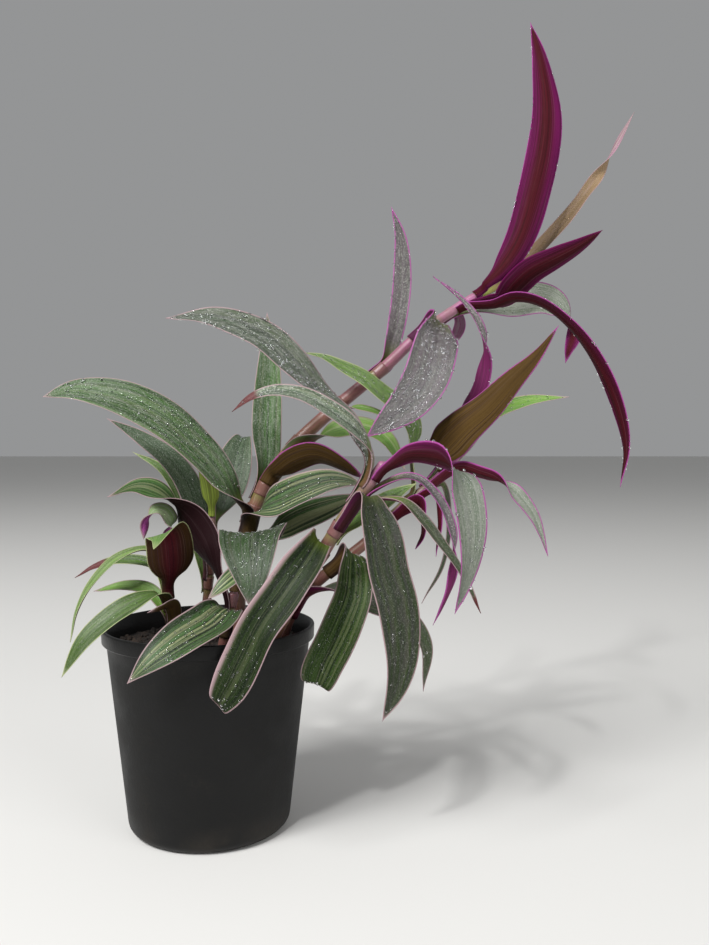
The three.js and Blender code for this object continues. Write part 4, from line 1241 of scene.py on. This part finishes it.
def sheath(leaf, curve, joint, reach):
    """The papery sheath of one leaf, open above its joint."""
    stem = STEMS[leaf.stem]
    lean = random.Random(leaf.name + " sheath").uniform(0, ANY_PHASE)

    def mouth(share, angle):
        flare = smooth((share - joint) / reach) * (1 + 0.5 * math.sin(2 * angle + lean))
        return stem_radius(stem, share) * 1.02 + 0.12 * MM + 0.3 * MM * flare

    top = min(1.0, joint + reach)
    piece, _ = tube(leaf.name + "_sheath", curve, joint - 0.2 * reach, top, mouth, SHEATH_RINGS)
    store(piece, joint_mm=9.0, sheath=1.0)
    close_seams(piece, fill=False)
    modify(piece, "SOLIDIFY", thickness=SHEATH_THICK, offset=1)
    return piece


class TRADESCANTIA_OT_stems(Operator):
    """Adds the canes and shoots with their joints and sheaths"""
    bl_idname = "tradescantia.stems"
    bl_label = "Canes and shoots"

    def execute(self, context):
        stems = context.scene.tradescantia.stems
        for name, stem in STEMS.items():
            curve = Spine(stem["route"])
            leaves = [leaf for leaf in LEAVES if leaf.stem == name]
            joints = [curve.at_height(leaf.root * MM) for leaf in leaves]
            marks = np.array(joints) * curve.length / MM

            def radius_at(share, angle):
                gap = np.abs(marks - share * curve.length / MM).min()
                end = min(1.0, (1 - share) * curve.length / STEM_END)
                plump = 1 + JOINT_SWELL * math.exp(-(gap / JOINT_REACH) ** 2)
                return stem_radius(stem, share) * plump * math.sqrt(max(0.02, 1 - (1 - end) ** 2))

            piece, along = tube(name + "_skin", curve, 0, 1, radius_at, int(curve.length / STEM_RING))
            store(piece, joint_mm=[np.abs(marks - a).min() for a in along], sheath=0.0)
            close_seams(piece)
            reach = stems.sheath / curve.length
            piece = join([piece] + [sheath(leaf, curve, joint, reach)
                                    for leaf, joint in zip(leaves, joints) if leaf.clasp >= 1])
            shade(piece)
            seat(piece, painted("stem_skin", stem_paint, stems), SLOTS[name], name)
        return {"FINISHED"}


class LeafGroup:
    """Every leaf of one stem, and the water on them."""

    stem = ""

    def execute(self, context):
        settings = context.scene.tradescantia
        spots = []
        for leaf in (leaf for leaf in LEAVES if leaf.stem == self.stem):
            paint = painted("blade_" + leaf.look, leaf_paint, LOOKS[leaf.look], settings.leaves)
            seat(blade(leaf, settings.leaves), paint, SLOTS[leaf.name], leaf.name)
            spots += drops_on(leaf, settings.water, settings.leaves.thickness)
        start_fresh()
        bpy.ops.mesh.primitive_uv_sphere_add(segments=7, ring_count=5, radius=1)
        drops = scatter(self.stem + "_water", named("drop"), spots)
        seat(drops, painted("clear_water", water_paint), "leaf_silver")
        return {"FINISHED"}


class TRADESCANTIA_OT_tall_cane_leaves(LeafGroup, Operator):
    """Adds the leaves of the tall cane"""
    bl_idname = "tradescantia.tall_cane_leaves"
    bl_label = "Leaves of the tall cane"
    stem = "cane_tall"


class TRADESCANTIA_OT_front_cane_leaves(LeafGroup, Operator):
    """Adds the leaves of the front cane"""
    bl_idname = "tradescantia.front_cane_leaves"
    bl_label = "Leaves of the front cane"
    stem = "cane_front"


class TRADESCANTIA_OT_rear_cane_leaves(LeafGroup, Operator):
    """Adds the leaves of the rear cane"""
    bl_idname = "tradescantia.rear_cane_leaves"
    bl_label = "Leaves of the rear cane"
    stem = "cane_rear"


class TRADESCANTIA_OT_left_shoot_leaves(LeafGroup, Operator):
    """Adds the leaves of the left shoot"""
    bl_idname = "tradescantia.left_shoot_leaves"
    bl_label = "Leaves of the left shoot"
    stem = "shoot_left"


class TRADESCANTIA_OT_middle_shoot_leaves(LeafGroup, Operator):
    """Adds the leaves of the middle shoot"""
    bl_idname = "tradescantia.middle_shoot_leaves"
    bl_label = "Leaves of the middle shoot"
    stem = "shoot_middle"


class TRADESCANTIA_OT_back_shoot_leaves(LeafGroup, Operator):
    """Adds the leaves of the back shoot"""
    bl_idname = "tradescantia.back_shoot_leaves"
    bl_label = "Leaves of the back shoot"
    stem = "shoot_back"


FLOOR_SIZE = 60
FLOOR_DROP = 0.2 * MM
# The camera sees the plant from the front, a little above the rim.
CAMERA_PLACE = (0.090, -0.538, 0.2316)
CAMERA_TILT = 88.5
PLANT_MIDDLE = (0.08, 0, 0.22)


class TRADESCANTIA_OT_stage(Operator):
    """Adds the plain floor, the soft lights and the camera"""
    bl_idname = "tradescantia.stage"
    bl_label = "Stage"

    def execute(self, context):
        stage = context.scene.tradescantia.stage
        start_fresh()
        bpy.ops.mesh.primitive_plane_add(size=FLOOR_SIZE, location=(0, 0, -FLOOR_DROP))
        floor = named("studio_floor")
        floor.data.materials.append(painted("studio_floor", floor_paint, stage))
        world = bpy.data.worlds.new("studio")
        world.use_nodes = True
        air = world.node_tree.nodes["Background"].inputs
        air["Color"].default_value = (0.8, 0.81, 0.82, 1.0)
        air["Strength"].default_value = 0.37
        context.scene.world = world
        self.light("key_light", (-1.4, -1.8, 2.4), 1.4, stage.key)
        self.light("fill_light", (2.6, -2.2, 1.2), 2.2, stage.fill)
        self.light("glint_light", (-0.5, -1.5, 1.7), 0.12, stage.glint)
        bpy.ops.object.camera_add(location=CAMERA_PLACE, rotation=(math.radians(CAMERA_TILT), 0, 0))
        camera = context.object
        camera.name = "camera"
        camera.data.sensor_fit = "VERTICAL"
        camera.data.sensor_height = 36
        camera.data.lens = stage.lens
        camera.data.clip_start = 0.01
        context.scene.camera = camera
        context.scene.view_settings.view_transform = "Standard"
        return {"FINISHED"}

    def light(self, name, place, size, power):
        """Adds a square light that is aimed at the plant."""
        bpy.ops.object.light_add(type="AREA", location=place)
        light = bpy.context.object
        light.name = name
        light.data.size = size
        light.data.energy = power
        aim = Vector(PLANT_MIDDLE) - light.location
        light.rotation_euler = aim.to_track_quat("-Z", "Y").to_euler()


class TRADESCANTIA_PT_panel(Panel):
    """Lists the pieces of the plant"""
    bl_idname = "TRADESCANTIA_PT_panel"
    bl_label = "Potted tradescantia"
    bl_space_type = "VIEW_3D"
    bl_region_type = "UI"
    bl_category = "Plant"

    def draw(self, context):
        for operator in OPERATORS:
            self.layout.operator(operator.bl_idname)
        settings = context.scene.tradescantia
        for group in (settings.pot, settings.soil, settings.stems, settings.leaves, settings.water,
                      settings.stage):
            box = self.layout.box()
            for key in group.__annotations__:
                box.prop(group, key)


OPERATORS = (
    TRADESCANTIA_OT_pot, TRADESCANTIA_OT_soil, TRADESCANTIA_OT_stems,
    TRADESCANTIA_OT_tall_cane_leaves, TRADESCANTIA_OT_front_cane_leaves,
    TRADESCANTIA_OT_rear_cane_leaves, TRADESCANTIA_OT_left_shoot_leaves,
    TRADESCANTIA_OT_middle_shoot_leaves, TRADESCANTIA_OT_back_shoot_leaves, TRADESCANTIA_OT_stage,
)
CLASSES = (PotSettings, SoilSettings, StemSettings, LeafSettings, WaterSettings, StageSettings,
           PlantSettings, *OPERATORS, TRADESCANTIA_PT_panel)


def register():
    for cls in CLASSES:
        bpy.utils.register_class(cls)
    bpy.types.Scene.tradescantia = PointerProperty(type=PlantSettings)


def unregister():
    del bpy.types.Scene.tradescantia
    for cls in reversed(CLASSES):
        bpy.utils.unregister_class(cls)


def main():
    register()
    for operator in OPERATORS:
        getattr(bpy.ops.tradescantia, operator.bl_idname.split(".")[1])()


if __name__ == "__main__":
    main()
